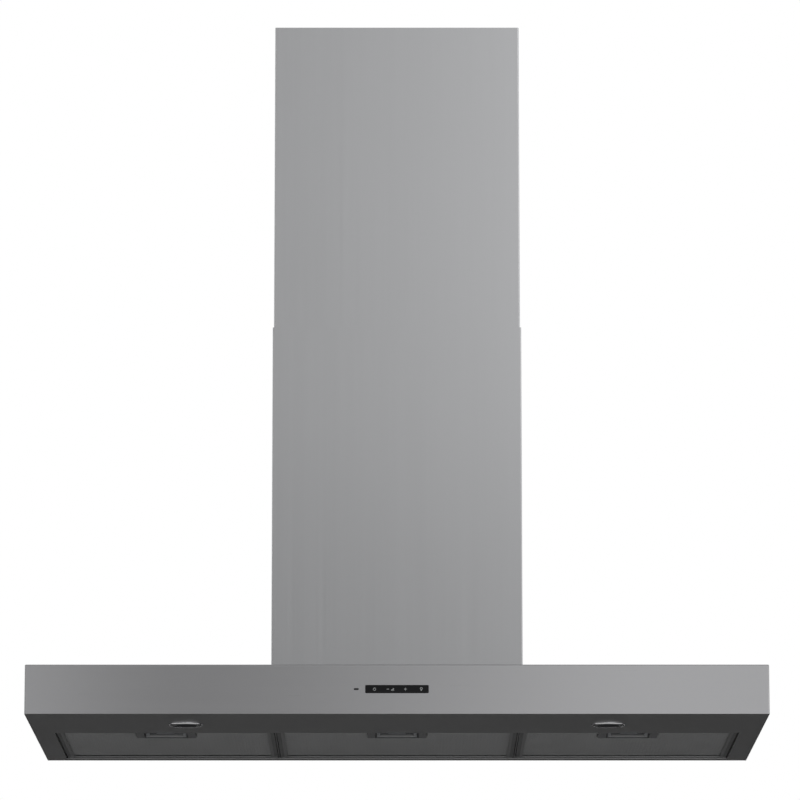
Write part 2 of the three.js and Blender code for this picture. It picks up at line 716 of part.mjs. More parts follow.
function filterFrame(width) {
  const half = width / 2 - FILTER_GAP;
  const inner = half - FILTER_BORDER;
  const height = [0, FILTER_THICKNESS];
  const rim = block([-half, half], [FILTER_FRONT, FILTER_REAR], height);
  const window = block(
    [-inner, inner],
    [FILTER_FRONT + FILTER_BORDER, FILTER_REAR - FILTER_BORDER],
    [-1, FILTER_THICKNESS + 1],
  );
  const groove = block(
    [-half + FILTER_SHEET, half - FILTER_SHEET],
    [FILTER_FRONT + FILTER_SHEET, FILTER_REAR - FILTER_SHEET],
    [FILTER_SHEET, FILTER_THICKNESS - FILTER_SHEET],
  );
  const boltWay = block(
    [-BOLT_WIDTH / 2 - BOLT_WAY_MARGIN, BOLT_WIDTH / 2 + BOLT_WAY_MARGIN],
    [FILTER_FRONT - 1, FILTER_FRONT + FILTER_BORDER + 1],
    [-1, BOLT_THICKNESS + BOLT_WAY_MARGIN],
  );
  const tongue = block(
    [-half + FILTER_TONGUE_INSET, half - FILTER_TONGUE_INSET],
    [FILTER_REAR - FILTER_SHEET, FILTER_TONGUE],
    [0, FILTER_SHEET],
  );
  return joined([cut(rim, [window, groove, boltWay]), tongue]);
}

// Plain slab in the channel of the frame, notched for the latch.
function filterMesh(width) {
  const half = width / 2 - FILTER_GAP - FILTER_SHEET - SEAT;
  const slab = block(
    [-half, half],
    [FILTER_FRONT + FILTER_SHEET + SEAT, FILTER_REAR - FILTER_SHEET - SEAT],
    [FILTER_SHEET + SEAT, FILTER_THICKNESS - FILTER_SHEET - SEAT],
  );
  const notch = block(
    [-LATCH_WIDTH / 2 - SEAT, LATCH_WIDTH / 2 + SEAT],
    [FILTER_FRONT - 1, latchFront() + LATCH_DEPTH + SEAT],
    [0, FILTER_THICKNESS],
  );
  return slab.subtract(notch);
}

function gripLevel() {
  return FILTER_THICKNESS - LATCH_WALL - SEAT - GRIP_SHEET - SEAT;
}

// Moulded finger cup, open below, with a rail at each end that carries the grip.
function latchHousing() {
  const half = LATCH_WIDTH / 2;
  const front = latchFront();
  const rear = front + LATCH_DEPTH;
  const top = FILTER_THICKNESS - SEAT;
  const body = prism('z', roundedRectangle([-half, half], [front, rear], LATCH_CORNER, 3), 0, top);
  const cup = block(
    [-half + LATCH_RAIL, half - LATCH_RAIL],
    [front + LATCH_WALL, rear - LATCH_WALL],
    [-1, top - LATCH_WALL],
  );
  const gripWay = block(
    [-half + LATCH_WALL, half - LATCH_WALL],
    [front + LATCH_WALL, rear - LATCH_WALL],
    [gripLevel() - SEAT, top - LATCH_WALL],
  );
  const boltWay = block(
    [-BOLT_WIDTH / 2 - BOLT_WAY_MARGIN, BOLT_WIDTH / 2 + BOLT_WAY_MARGIN],
    [front - 1, front + LATCH_WALL + 1],
    [-1, BOLT_THICKNESS + BOLT_WAY_MARGIN],
  );
  return cut(body, [cup, gripWay, boltWay]);
}

// Sliding grip: a plate on the rails, a finger bar on two arms behind it and a bolt at its front.
function latchSlider() {
  const half = LATCH_WIDTH / 2 - LATCH_WALL - SEAT;
  const barHalf = GRIP_BAR_WIDTH / 2;
  const level = gripLevel();
  const plateFront = latchFront() + LATCH_WALL + 2;
  const plateRear = plateFront + GRIP_DEPTH;
  const plate = block([-half, half], [plateFront, plateRear], [level, level + GRIP_SHEET]);
  const barFront = plateRear + GRIP_BAR_SETBACK;
  const barRear = barFront + GRIP_BAR_DEPTH;
  const barTop = GRIP_BAR_LEVEL + GRIP_BAR_HEIGHT;
  const bar = block([-barHalf, barHalf], [barFront, barRear], [GRIP_BAR_LEVEL, barTop]);
  const armProfile = [
    [plateRear - GRIP_SHEET, level + GRIP_SHEET / 2],
    [plateRear - GRIP_SHEET, level - GRIP_SHEET],
    [barFront, GRIP_BAR_LEVEL],
    [barRear, GRIP_BAR_LEVEL],
    [barRear, barTop],
    [plateRear, level + GRIP_SHEET / 2],
  ];
  const arms = [-1, 1].map((side) => prism(
    'x',
    armProfile,
    Math.min(side * barHalf, side * (barHalf - GRIP_ARM)),
    Math.max(side * barHalf, side * (barHalf - GRIP_ARM)),
  ));
  const tip = STRIP_REAR - HINGE_Y - BOLT_REACH;
  const bolt = [
    [tip, BOLT_CHAMFER / 2],
    [tip + BOLT_CHAMFER, 0],
    [plateFront + BOLT_STEM, 0],
    [plateFront + BOLT_STEM, level + GRIP_SHEET / 2],
    [plateFront + 0.4, level + GRIP_SHEET / 2],
    [plateFront + 0.4, BOLT_THICKNESS],
    [tip, BOLT_THICKNESS],
  ];
  return joined([plate, bar, ...arms, prism('x', bolt, -BOLT_WIDTH / 2, BOLT_WIDTH / 2)]);
}

// ---------------------------------------------------------------- blower box and fan
function blowerBox() {
  const half = BLOWER_WIDTH / 2;
  const sheet = BLOWER_SHEET;
  const body = block([-half, half], [BLOWER_FRONT, BLOWER_REAR], [BLOWER_BASE, BLOWER_TOP]);
  const hollow = block(
    [-half + sheet, half - sheet],
    [BLOWER_FRONT + sheet, BLOWER_REAR - sheet],
    [BLOWER_BASE + sheet, BLOWER_TOP - sheet],
  );
  const mouth = block(
    [-half + sheet + BLOWER_FLANGE, half - sheet - BLOWER_FLANGE],
    [BLOWER_FRONT + BLOWER_FLANGE, BLOWER_REAR - BLOWER_FLANGE],
    [BLOWER_BASE - 1, BLOWER_BASE + sheet + 1],
  );
  const outlet = prism('z', circle(0, COLLAR_Y, DUCT_RADIUS, 40), BLOWER_TOP - sheet - 1, BLOWER_TOP + 1);
  return cut(body, [hollow, mouth, outlet]);
}

// The fan's own pieces are drawn about its axis; u points to the front and v points up.
function scrollRadius(angle) {
  const growth = Math.log(SCROLL_END_RADIUS / TONGUE_RADIUS) / (2 * Math.PI - TONGUE_ANGLE);
  return TONGUE_RADIUS * Math.exp(growth * (angle - TONGUE_ANGLE));
}

function scrollOutline(wall) {
  const steps = 30;
  const points = [[0, 0]];
  for (let i = 0; i <= steps; i += 1) {
    const angle = TONGUE_ANGLE + (i / steps) * (2 * Math.PI - TONGUE_ANGLE);
    const radius = scrollRadius(angle) + wall;
    points.push([-radius * Math.cos(angle), radius * Math.sin(angle)]);
  }
  return points;
}

// The outlet of the scroll, widening up to the round collar.
function diffuserOutline(wall, rise) {
  const top = VOLUTE_TOP - FAN_CENTRE_Z + rise;
  const tongue = [-TONGUE_RADIUS * Math.cos(TONGUE_ANGLE), TONGUE_RADIUS * Math.sin(TONGUE_ANGLE)];
  const rearTop = COLLAR_Y + DUCT_RADIUS - OUTLET_INSET - FAN_Y;
  const slope = [rearTop - tongue[0], VOLUTE_TOP - FAN_CENTRE_Z - tongue[1]];
  const length = Math.hypot(slope[0], slope[1]);
  const away = [(slope[1] / length) * wall, (-slope[0] / length) * wall];
  const start = [tongue[0] + away[0], tongue[1] + away[1]];
  const finish = crossing(start, slope, [0, top], [1, 0]);
  return [
    [0, 0],
    start,
    finish,
    [-SCROLL_END_RADIUS - wall, top],
    [-SCROLL_END_RADIUS - wall, 0],
  ];
}

// One half of the volute, cut at the fan's middle plane, as a thin-walled moulding.
function voluteHalf(side) {
  const along = (a, b) => [side * a, side * b].sort((p, q) => p - q);
  const outerSpan = along(SEAT / 2, VOLUTE_OUTER);
  const innerSpan = along(-1, VOLUTE_HALF);
  const outer = prism('x', scrollOutline(VOLUTE_WALL), ...outerSpan)
    .add(prism('x', diffuserOutline(VOLUTE_WALL, 0), ...outerSpan));
  const inner = prism('x', scrollOutline(0), ...innerSpan)
    .add(prism('x', diffuserOutline(0, 2), ...innerSpan));
  const inletSpan = along(VOLUTE_HALF - 1, VOLUTE_OUTER + 1);
  const inlet = prism('x', circle(0, 0, INLET_RADIUS + INLET_WALL + 2 * SEAT, 32), ...inletSpan);
  return cut(outer, [inner, inlet]);
}

// Bell-mouthed ring in the side of the volute; its flange lies on the side plate.
function inletRing(side) {
  const steps = 3;
  const seat = VOLUTE_OUTER + SEAT;
  const throat = INLET_RADIUS + INLET_WALL;
  const flange = INLET_RADIUS + INLET_FLARE + INLET_WALL;
  const face = [[INLET_RADIUS, seat - INLET_THROAT], [INLET_RADIUS, seat]];
  const back = [[throat, seat - INLET_THROAT], [throat, seat], [flange, seat], [flange, seat + INLET_WALL]];
  back.push([throat + 0.6, seat + INLET_WALL]);
  for (let i = 1; i <= steps; i += 1) {
    const angle = (i / steps) * (Math.PI / 2);
    const radius = INLET_RADIUS + INLET_FLARE * (1 - Math.cos(angle));
    const reach = seat + INLET_FLARE * Math.sin(angle);
    face.push([radius, reach]);
    back.push([radius + INLET_WALL, reach - INLET_WALL * 0.4]);
  }
  const ring = revolve('x', [...face, ...back.reverse()], 32);
  return side < 0 ? mirroredBody(ring) : ring;
}

// Forward-curved blade: the tip leans towards the turning direction.
function bladeOutline(angle) {
  const steps = 2;
  const outer = [];
  const inner = [];
  for (let i = 0; i <= steps; i += 1) {
    const t = i / steps;
    const radius = IMPELLER_RADIUS - BLADE_DEPTH + (BLADE_DEPTH - 0.5) * t;
    const lean = angle + BLADE_LEAN * t * t;
    const half = BLADE_THICKNESS / 2 / radius;
    outer.push([-radius * Math.cos(lean + half), radius * Math.sin(lean + half)]);
    inner.push([-radius * Math.cos(lean - half), radius * Math.sin(lean - half)]);
  }
  return [...outer, ...inner.reverse()];
}

function impeller() {
  const discOutline = circle(0, 0, IMPELLER_RADIUS - 1, BLADE_COUNT);
  const disc = prism('x', discOutline, -IMPELLER_DISC / 2, IMPELLER_DISC / 2);
  const hub = prism('x', circle(0, 0, HUB_RADIUS, 24), -HUB_LEFT, HUB_RIGHT);
  const rimRing = (from, to) => prism('x', circle(0, 0, IMPELLER_RADIUS, BLADE_COUNT), from, to)
    .subtract(prism('x', circle(0, 0, IMPELLER_RADIUS - IMPELLER_RIM, BLADE_COUNT), from - 1, to + 1));
  const rims = [
    rimRing(-IMPELLER_HALF_WIDTH, -IMPELLER_HALF_WIDTH + IMPELLER_RIM_WIDTH),
    rimRing(IMPELLER_HALF_WIDTH - IMPELLER_RIM_WIDTH, IMPELLER_HALF_WIDTH),
  ];
  const blades = [];
  for (let i = 0; i < BLADE_COUNT; i += 1) {
    const outline = bladeOutline((i / BLADE_COUNT) * 2 * Math.PI);
    blades.push(prism('x', outline, -IMPELLER_HALF_WIDTH + 0.5, IMPELLER_HALF_WIDTH - 0.5));
  }
  const bore = prism('x', circle(0, 0, SHAFT_RADIUS + SEAT, 24), -HUB_LEFT - 1, HUB_RIGHT + 1);
  return joined([disc, hub, ...rims, ...blades]).subtract(bore);
}

function motorFace() {
  return -(HUB_LEFT + MOTOR_TO_HUB + MOTOR_BOSS);
}

function motor() {
  const front = motorFace();
  const rear = front - MOTOR_LENGTH;
  const bore = SHAFT_RADIUS + SEAT;
  return revolve('x', [
    [0, rear],
    [MOTOR_RADIUS - MOTOR_CHAMFER, rear],
    [MOTOR_RADIUS, rear + MOTOR_CHAMFER],
    [MOTOR_RADIUS, front - MOTOR_CHAMFER],
    [MOTOR_RADIUS - MOTOR_CHAMFER, front],
    [SHAFT_RADIUS * 2.5, front],
    [SHAFT_RADIUS * 2.5, front + MOTOR_BOSS],
    [bore, front + MOTOR_BOSS],
    [bore, front + MOTOR_BOSS - MOTOR_BORE_DEPTH],
    [0, front + MOTOR_BOSS - MOTOR_BORE_DEPTH],
  ], 32);
}

function motorShaft() {
  const start = motorFace() + MOTOR_BOSS - MOTOR_BORE_DEPTH + SEAT;
  return prism('x', circle(0, 0, SHAFT_RADIUS, 24), start, HUB_RIGHT + 4);
}

// Clamp ring with three arms that stand on the side of the volute.
function motorBracket() {
  const inner = -(VOLUTE_OUTER + SEAT);
  const armFace = inner - INLET_FLARE - ARM_THICKNESS;
  const armBack = armFace + ARM_THICKNESS;
  const clampBack = armFace - CLAMP_DEPTH;
  const clampRadius = MOTOR_RADIUS + SEAT + CLAMP_WALL;
  const ring = prism('x', circle(0, 0, clampRadius, 32), clampBack, armBack)
    .subtract(prism('x', circle(0, 0, MOTOR_RADIUS + 2 * SEAT, 32), clampBack - 1, armBack + 1));
  const arms = [];
  for (let i = 0; i < ARM_COUNT; i += 1) {
    const arm = block(
      [armFace, armBack],
      [-ARM_WIDTH / 2, ARM_WIDTH / 2],
      [clampRadius - CLAMP_WALL / 2, ARM_REACH],
    );
    const foot = block([armFace, inner], [-ARM_WIDTH / 2, ARM_WIDTH / 2], [ARM_REACH - 8, ARM_REACH]);
    arms.push(turned(arm.add(foot), 'x', 30 + (360 * i) / ARM_COUNT));
  }
  return joined([ring, ...arms]);
}

function capacitor() {
  const x = BLOWER_INNER - SEAT - CAPACITOR_RADIUS;
  const y = BLOWER_FRONT + CAPACITOR_SETBACK;
  const top = CAPACITOR_Z + CAPACITOR_LENGTH;
  const can = prism('z', circle(x, y, CAPACITOR_RADIUS, 32), CAPACITOR_Z, top);
  const terminalOutline = circle(x, y, CAPACITOR_RADIUS * 0.45, 16);
  const terminal = prism('z', terminalOutline, CAPACITOR_Z - CAPACITOR_TERMINAL, CAPACITOR_Z + 1);
  return can.add(terminal);
}

// ---------------------------------------------------------------- outlet collar and flaps
// Drawn about the collar's axis; z = 0 is the seat of its flange.
function pinLevel() {
  return LEDGE_HEIGHT + SEAT + KNUCKLE_RADIUS;
}

function outletCollar() {
  const tube = revolve('z', [
    [DUCT_RADIUS, 0],
    [COLLAR_RADIUS + COLLAR_FLANGE, 0],
    [COLLAR_RADIUS + COLLAR_FLANGE, COLLAR_FLANGE_THICKNESS],
    [COLLAR_RADIUS, COLLAR_FLANGE_THICKNESS],
    [COLLAR_RADIUS, COLLAR_HEIGHT],
    [DUCT_RADIUS, COLLAR_HEIGHT],
    [DUCT_RADIUS, LEDGE_HEIGHT],
    [DUCT_RADIUS - LEDGE_WIDTH, LEDGE_HEIGHT],
    [DUCT_RADIUS - LEDGE_WIDTH, LEDGE_HEIGHT - LEDGE_EDGE],
    [DUCT_RADIUS, LEDGE_HEIGHT - LEDGE_ROOT],
  ], 40);
  const reach = COLLAR_RADIUS + 1;
  const pinHoles = prism('x', circle(0, pinLevel(), PIN_RADIUS + SEAT, 16), -reach, reach);
  return tube.subtract(pinHoles);
}

function damperPin() {
  const half = COLLAR_RADIUS - 0.5;
  return prism('x', circle(0, pinLevel(), PIN_RADIUS, 16), -half, half);
}

// The knuckles of the two flaps take turns along the pin.
function knuckleStarts(side) {
  const step = KNUCKLE_LENGTH * 1.5;
  const first = side < 0 ? -2 * step : -step;
  return [first, first + 2 * step];
}

function damperFlap(side) {
  const base = LEDGE_HEIGHT + SEAT;
  const radius = DUCT_RADIUS - FLAP_GAP;
  const half = rectangle([-radius - 1, radius + 1], side < 0 ? [-radius - 1, -0.4] : [0.4, radius + 1]);
  const plate = prism('z', circle(0, 0, radius, 40), base, base + FLAP_THICKNESS)
    .intersect(prism('z', half, base, base + FLAP_THICKNESS));
  const reliefs = knuckleStarts(-side).map((start) => block(
    [start - 1, start + KNUCKLE_LENGTH + 1],
    [-KNUCKLE_RADIUS - 0.8, KNUCKLE_RADIUS + 0.8],
    [base - 1, base + 2 * KNUCKLE_RADIUS + 1],
  ));
  const knuckles = knuckleStarts(side).map((start) => prism(
    'x',
    circle(0, pinLevel(), KNUCKLE_RADIUS, 20),
    start,
    start + KNUCKLE_LENGTH,
  ));
  const bore = prism('x', circle(0, pinLevel(), PIN_RADIUS + SEAT, 16), -radius - 1, radius + 1);
  const rib = block([-1, 1], side < 0 ? [-radius * 0.8, -10] : [10, radius * 0.8], [base, base + 4]);
  return cut(joined([plate, rib, ...knuckles]), [bore, ...reliefs]);
}

// ---------------------------------------------------------------- chimney
function chimneySection(half, front, rear, bottom, top) {
  const path = [
    [-half + CHIMNEY_RETURN, rear],
    [-half, rear],
    [-half, front],
    [half, front],
    [half, rear],
    [half - CHIMNEY_RETURN, rear],
  ];
  return prism('z', foldedSheet(path, CHIMNEY_SHEET), bottom, top);
}

function lowerChimney() {
  return chimneySection(CHIMNEY_WIDTH / 2, -CHIMNEY_DEPTH, 0, CANOPY_HEIGHT + SEAT, LOWER_CHIMNEY_TOP);
}

// The upper cover carries a ladder of vent slots in each side near its top.
function upperChimney() {
  const cover = chimneySection(UPPER_HALF, UPPER_FRONT, UPPER_REAR, UPPER_BASE, UPPER_CHIMNEY_TOP);
  const middle = (UPPER_FRONT + UPPER_REAR) / 2;
  const vents = [];
  for (let i = 0; i < VENT_COUNT; i += 1) {
    const z = UPPER_CHIMNEY_TOP - VENT_TOP_MARGIN - i * VENT_PITCH;
    const outline = roundedRectangle(
      [middle - VENT_LENGTH / 2, middle + VENT_LENGTH / 2],
      [z - VENT_HEIGHT / 2, z + VENT_HEIGHT / 2],
      VENT_HEIGHT / 2 - 0.05,
      2,
    );
    vents.push(prism('x', outline, -UPPER_HALF - 1, UPPER_HALF + 1));
  }
  return cut(cover, vents);
}

// Wall strap with two ears; it steps forward to pass in front of the cover's returns.
function chimneyBracket() {
  const ear = UPPER_INNER - SEAT;
  const joggle = UPPER_REAR - CHIMNEY_SHEET - SEAT;
  const inset = UPPER_HALF - CHIMNEY_RETURN - 2;
  const right = [
    [inset, 0],
    [inset + 2, joggle],
    [ear, joggle],
    [ear, -BRACKET_EAR],
  ];
  const path = [...right.map(([u, v]) => [u, v]).reverse(), ...right.map(([u, v]) => [-u, v])];
  const top = UPPER_CHIMNEY_TOP - BRACKET_TOP_MARGIN;
  return prism('z', foldedSheet(path, BRACKET_SHEET), top - BRACKET_HEIGHT, top);
}

// Angle that fixes the lower cover to the canopy's top.
function chimneyFoot(side) {
  const face = LOWER_INNER - SEAT;
  const base = CANOPY_HEIGHT + SEAT;
  const path = [
    [face, base + FOOT_HEIGHT],
    [face, base],
    [face - FOOT_LEG, base],
  ];
  const section = movedLeft(path, -FOOT_SHEET).reverse();
  const outline = [...path, ...section];
  const start = -CHIMNEY_DEPTH / 2 - FOOT_LENGTH / 2;
  return prism('y', side < 0 ? mirrored(outline) : outline, start, start + FOOT_LENGTH);
}

// ---------------------------------------------------------------- electrics
function junctionBox() {
  const y = [PANEL_FRONT + JUNCTION_SETBACK[0], PANEL_FRONT + JUNCTION_SETBACK[1]];
  const outline = roundedRectangle(JUNCTION_X, y, JUNCTION_CORNER, 3);
  const body = prism('z', outline, PANEL_TOP, PANEL_TOP + JUNCTION_HEIGHT);
  const hollow = block(
    [JUNCTION_X[0] + JUNCTION_WALL, JUNCTION_X[1] - JUNCTION_WALL],
    [y[0] + JUNCTION_WALL, y[1] - JUNCTION_WALL],
    [PANEL_TOP + JUNCTION_WALL, PANEL_TOP + JUNCTION_HEIGHT + 1],
  );
  const wayX = JUNCTION_X[0] + JUNCTION_WAY_INSET;
  const wayOutline = circle(wayX, PANEL_TOP + JUNCTION_HEIGHT / 2, JUNCTION_WAY_RADIUS, 20);
  const cableWay = prism('y', wayOutline, y[1] - 2 * JUNCTION_WALL, y[1] + 1);
  return cut(body, [hollow, cableWay]);
}

function junctionLid() {
  const y = [PANEL_FRONT + JUNCTION_SETBACK[0], PANEL_FRONT + JUNCTION_SETBACK[1]];
  const base = PANEL_TOP + JUNCTION_HEIGHT + SEAT;
  const plate = prism('z', roundedRectangle(JUNCTION_X, y, JUNCTION_CORNER, 3), base, base + JUNCTION_LID);
  const inset = JUNCTION_WALL + SEAT;
  const spigot = block(
    [JUNCTION_X[0] + inset, JUNCTION_X[1] - inset],
    [y[0] + inset, y[1] - inset],
    [base - 2, base + 1],
  );
  return plate.add(spigot);
}

function ledDriver() {
  const y = [PANEL_FRONT + DRIVER_SETBACK[0], PANEL_FRONT + DRIVER_SETBACK[1]];
  const outline = roundedRectangle(DRIVER_X, y, DRIVER_CORNER, 3);
  const body = prism('z', outline, PANEL_TOP, PANEL_TOP + DRIVER_HEIGHT);
  const ears = block(
    [DRIVER_X[0] - DRIVER_EAR, DRIVER_X[1] + DRIVER_EAR],
    [y[0] + DRIVER_EAR, y[1] - DRIVER_EAR],
    [PANEL_TOP, PANEL_TOP + DRIVER_EAR_THICKNESS],
  );
  return body.add(ears);
}

function glandX() {
  return (BLOWER_WIDTH / 2 + UPPER_INNER) / 2;
}

// Mains gland, clamped through the canopy's top between its head and its nut.
function cableGland() {
  const stem = GLAND_RADIUS;
  const nutTop = CANOPY_UNDER_TOP - SEAT;
  const headBase = CANOPY_HEIGHT + SEAT;
  return revolve('z', [
    [GLAND_BORE_RADIUS, nutTop - GLAND_NUT_HEIGHT - 3],
    [stem, nutTop - GLAND_NUT_HEIGHT - 3],
    [stem, nutTop - GLAND_NUT_HEIGHT],
    [GLAND_HEAD_RADIUS, nutTop - GLAND_NUT_HEIGHT],
    [GLAND_HEAD_RADIUS, nutTop],
    [stem, nutTop],
    [stem, headBase],
    [GLAND_HEAD_RADIUS, headBase],
    [GLAND_HEAD_RADIUS, headBase + GLAND_HEAD_HEIGHT * 0.35],
    [GLAND_HEAD_RADIUS * 0.85, headBase + GLAND_HEAD_HEIGHT * 0.45],
    [GLAND_HEAD_RADIUS * 0.85, headBase + GLAND_HEAD_HEIGHT - 2],
    [GLAND_BORE_RADIUS + 1.5, headBase + GLAND_HEAD_HEIGHT],
    [GLAND_BORE_RADIUS, headBase + GLAND_HEAD_HEIGHT],
  ], 16);
}

// ---------------------------------------------------------------- assembly
function addMesh(parent, name, body, finish) {
  const mesh = new THREE.Mesh(surface(body), new THREE.MeshStandardMaterial(FINISHES[finish]));
  mesh.name = name;
  parent.add(mesh);
}

function addGroup(parent, x, y, z) {
  const group = new THREE.Group();
  group.position.set(x, y, z);
  parent.add(group);
  return group;
}

const hood = new THREE.Group();

addMesh(hood, 'canopy_shell', canopyShell(), 'brushedSteel');
addMesh(hood, 'intake_panel', intakePanel(), 'undersideSteel');
addMesh(hood, 'inner_bulkhead', innerBulkhead(), 'galvanised');
addMesh(hood, 'back_panel', backPanel(), 'galvanised');
addMesh(hood, 'control_glass', controlGlass(), 'blackGlass');
addMesh(hood, 'indicator_window', indicatorWindow(), 'greyPlastic');
addMesh(hood, 'control_housing', controlHousing(), 'blackPlastic');
addMesh(hood, 'control_board', controlBoard(), 'circuitGreen');

for (const [side, sign] of [['left', -1], ['right', 1]]) {
  const divider = addGroup(hood, sign * DIVIDER_X, 0, 0);
  addMesh(divider, `filter_divider_${side}`, filterDivider(), 'undersideSteel');
  const lamp = addGroup(hood, sign * LAMP_X, LAMP_Y, 0);
  addMesh(lamp, `lamp_bezel_${side}`, lampBezel(), 'chrome');
  addMesh(lamp, `lamp_lens_${side}`, lampLens(), 'smokedLens');
  addMesh(lamp, `lamp_body_${side}`, lampBody(), 'aluminium');
}

for (const { side, centre, width } of filterBays()) {
  const filter = addGroup(hood, centre, HINGE_Y, PANEL_TOP);
  addMesh(filter, `filter_frame_${side}`, filterFrame(width), 'aluminium');
  addMesh(filter, `filter_mesh_${side}`, filterMesh(width), 'meshAluminium');
  addMesh(filter, `latch_housing_${side}`, latchHousing(), 'blackPlastic');
  addMesh(filter, `latch_slider_${side}`, latchSlider(), 'greyPlastic');
}

addMesh(hood, 'blower_box', blowerBox(), 'galvanised');
const fan = addGroup(hood, 0, FAN_Y, FAN_CENTRE_Z);
addMesh(fan, 'volute_left', voluteHalf(-1), 'blackPlastic');
addMesh(fan, 'volute_right', voluteHalf(1), 'blackPlastic');
addMesh(fan, 'inlet_ring_left', inletRing(-1), 'greyPlastic');
addMesh(fan, 'inlet_ring_right', inletRing(1), 'greyPlastic');
addMesh(fan, 'impeller', impeller(), 'lightPlastic');
addMesh(fan, 'motor', motor(), 'machinedSteel');
addMesh(fan, 'motor_shaft', motorShaft(), 'machinedSteel');
addMesh(fan, 'motor_bracket', motorBracket(), 'galvanised');
addMesh(hood, 'capacitor', capacitor(), 'whitePlastic');

const outlet = addGroup(hood, 0, COLLAR_Y, COLLAR_BASE);
addMesh(outlet, 'outlet_collar', outletCollar(), 'blackPlastic');
addMesh(outlet, 'damper_pin', damperPin(), 'machinedSteel');
addMesh(outlet, 'damper_flap_front', damperFlap(-1), 'greyPlastic');
addMesh(outlet, 'damper_flap_rear', damperFlap(1), 'greyPlastic');

addMesh(hood, 'lower_chimney', lowerChimney(), 'brushedSteel');
addMesh(hood, 'upper_chimney', upperChimney(), 'brushedSteel');
addMesh(hood, 'chimney_bracket', chimneyBracket(), 'galvanised');
addMesh(hood, 'chimney_foot_left', chimneyFoot(-1), 'galvanised');
addMesh(hood, 'chimney_foot_right', chimneyFoot(1), 'galvanised');

addMesh(hood, 'junction_box', junctionBox(), 'whitePlastic');
addMesh(hood, 'junction_box_lid', junctionLid(), 'whitePlastic');
addMesh(hood, 'led_driver', ledDriver(), 'whitePlastic');
const gland = addGroup(hood, glandX(), -GLAND_SETBACK, 0);
addMesh(gland, 'cable_gland', cableGland(), 'blackPlastic');

export default hood;
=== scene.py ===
# %% [markdown]
# # A wall-mounted chimney hood in brushed steel
#
# The hood is a slim steel box that hangs over a cooker, with a chimney in two telescoping
# covers above it. We look at it from in front and a little below, so the fascia, the chimney
# and a thin slice of the underside show. The underside holds two lamps and three grease
# filters, each with a spring latch.
#
# The solid frame of the hood comes in ready made and stays where it is. This lesson dresses it:
# sheet metal with rolled folds, real expanded mesh, turned lamp rings, touch marks and
# finishes made of nodes. One unit is a metre, +Z is up, and the wall is the plane y = 0.

# %% Load the frame
import math

import bmesh
import bpy
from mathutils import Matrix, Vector


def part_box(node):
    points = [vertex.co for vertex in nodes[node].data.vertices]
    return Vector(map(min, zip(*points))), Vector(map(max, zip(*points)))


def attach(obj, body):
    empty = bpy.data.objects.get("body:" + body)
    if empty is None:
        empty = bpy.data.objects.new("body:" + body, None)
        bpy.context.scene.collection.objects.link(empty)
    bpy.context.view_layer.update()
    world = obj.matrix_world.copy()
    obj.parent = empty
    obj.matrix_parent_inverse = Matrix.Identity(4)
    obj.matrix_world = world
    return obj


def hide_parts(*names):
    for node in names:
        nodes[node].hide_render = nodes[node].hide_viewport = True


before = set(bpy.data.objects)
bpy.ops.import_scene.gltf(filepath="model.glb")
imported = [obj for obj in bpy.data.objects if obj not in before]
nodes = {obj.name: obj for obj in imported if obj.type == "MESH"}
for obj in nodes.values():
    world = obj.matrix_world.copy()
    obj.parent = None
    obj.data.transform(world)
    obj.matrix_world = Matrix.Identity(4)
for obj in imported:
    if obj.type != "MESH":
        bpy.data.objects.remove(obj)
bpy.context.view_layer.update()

# %% [markdown]
# ## The camera
#
# The picture has nearly no perspective: the front edge of the underside is only a little wider
# than its rear edge. That means a long lens far away. The camera stands 6.4 m in front of the
# fascia, below the hood, and looks up by 11 degrees, so the chimney's sides lean in a little.

# %% The camera
FASCIA_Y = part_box("canopy_shell")[0].y
CAMERA_DISTANCE = 6.4
CAMERA_HEIGHT = -0.863
CAMERA_TILT = math.radians(11.034)
SENSOR_MM, LENS_MM, LENS_SHIFT = 36.0, 240.93, 0.0038

view = bpy.data.cameras.new("photographer")
view.sensor_width = SENSOR_MM
view.lens = LENS_MM
view.shift_x = LENS_SHIFT
view.clip_end = 60.0
camera = bpy.data.objects.new("photographer", view)
camera.location = (0.0, FASCIA_Y - CAMERA_DISTANCE, CAMERA_HEIGHT)
camera.rotation_euler = (math.radians(90.0) + CAMERA_TILT, 0.0, 0.0)
bpy.context.scene.collection.objects.link(camera)
bpy.context.scene.camera = camera
bpy.context.scene.view_settings.view_transform = "Standard"
print("camera at", tuple(round(value, 3) for value in camera.location))

# %% [markdown]
# ## Shared surface effects
#
# Real sheet metal is never one colour: a brush has drawn fine lines along it, hands and cloths
# have left it a little glossier in places, and dust settles on what faces up. Each of these is
# an effect that many finishes share, so each one is built once as a node group with named
# sockets. The shader itself stays in every material.

# %% Helpers for node groups
def start_group(name, inputs, outputs):
    """A node group with a Vector and these inputs, a tuple for a vector; outputs are floats."""
    group = bpy.data.node_groups.new(name, "ShaderNodeTree")
    group.interface.new_socket("Vector", in_out="INPUT", socket_type="NodeSocketVector")
    for label, value in inputs.items():
        kind = "NodeSocketVector" if isinstance(value, tuple) else "NodeSocketFloat"
        group.interface.new_socket(label, in_out="INPUT", socket_type=kind).default_value = value
    for label in outputs:
        group.interface.new_socket(label, in_out="OUTPUT", socket_type="NodeSocketFloat")
    print("group:", name)
    return group, group.nodes.new("NodeGroupInput"), group.nodes.new("NodeGroupOutput")


def maths(tree, operation, first, second, clamp=False):
    """One Math node; each operand is a number or a socket."""
    node = tree.nodes.new("ShaderNodeMath")
    node.operation = operation
    node.use_clamp = clamp
    for socket, value in zip(node.inputs, (first, second)):
        if isinstance(value, (int, float)):
            socket.default_value = value
        else:
            tree.links.new(value, socket)
    return node.outputs[0]


def times(tree, first, second):
    """The product of two operands."""
    return maths(tree, "MULTIPLY", first, second)


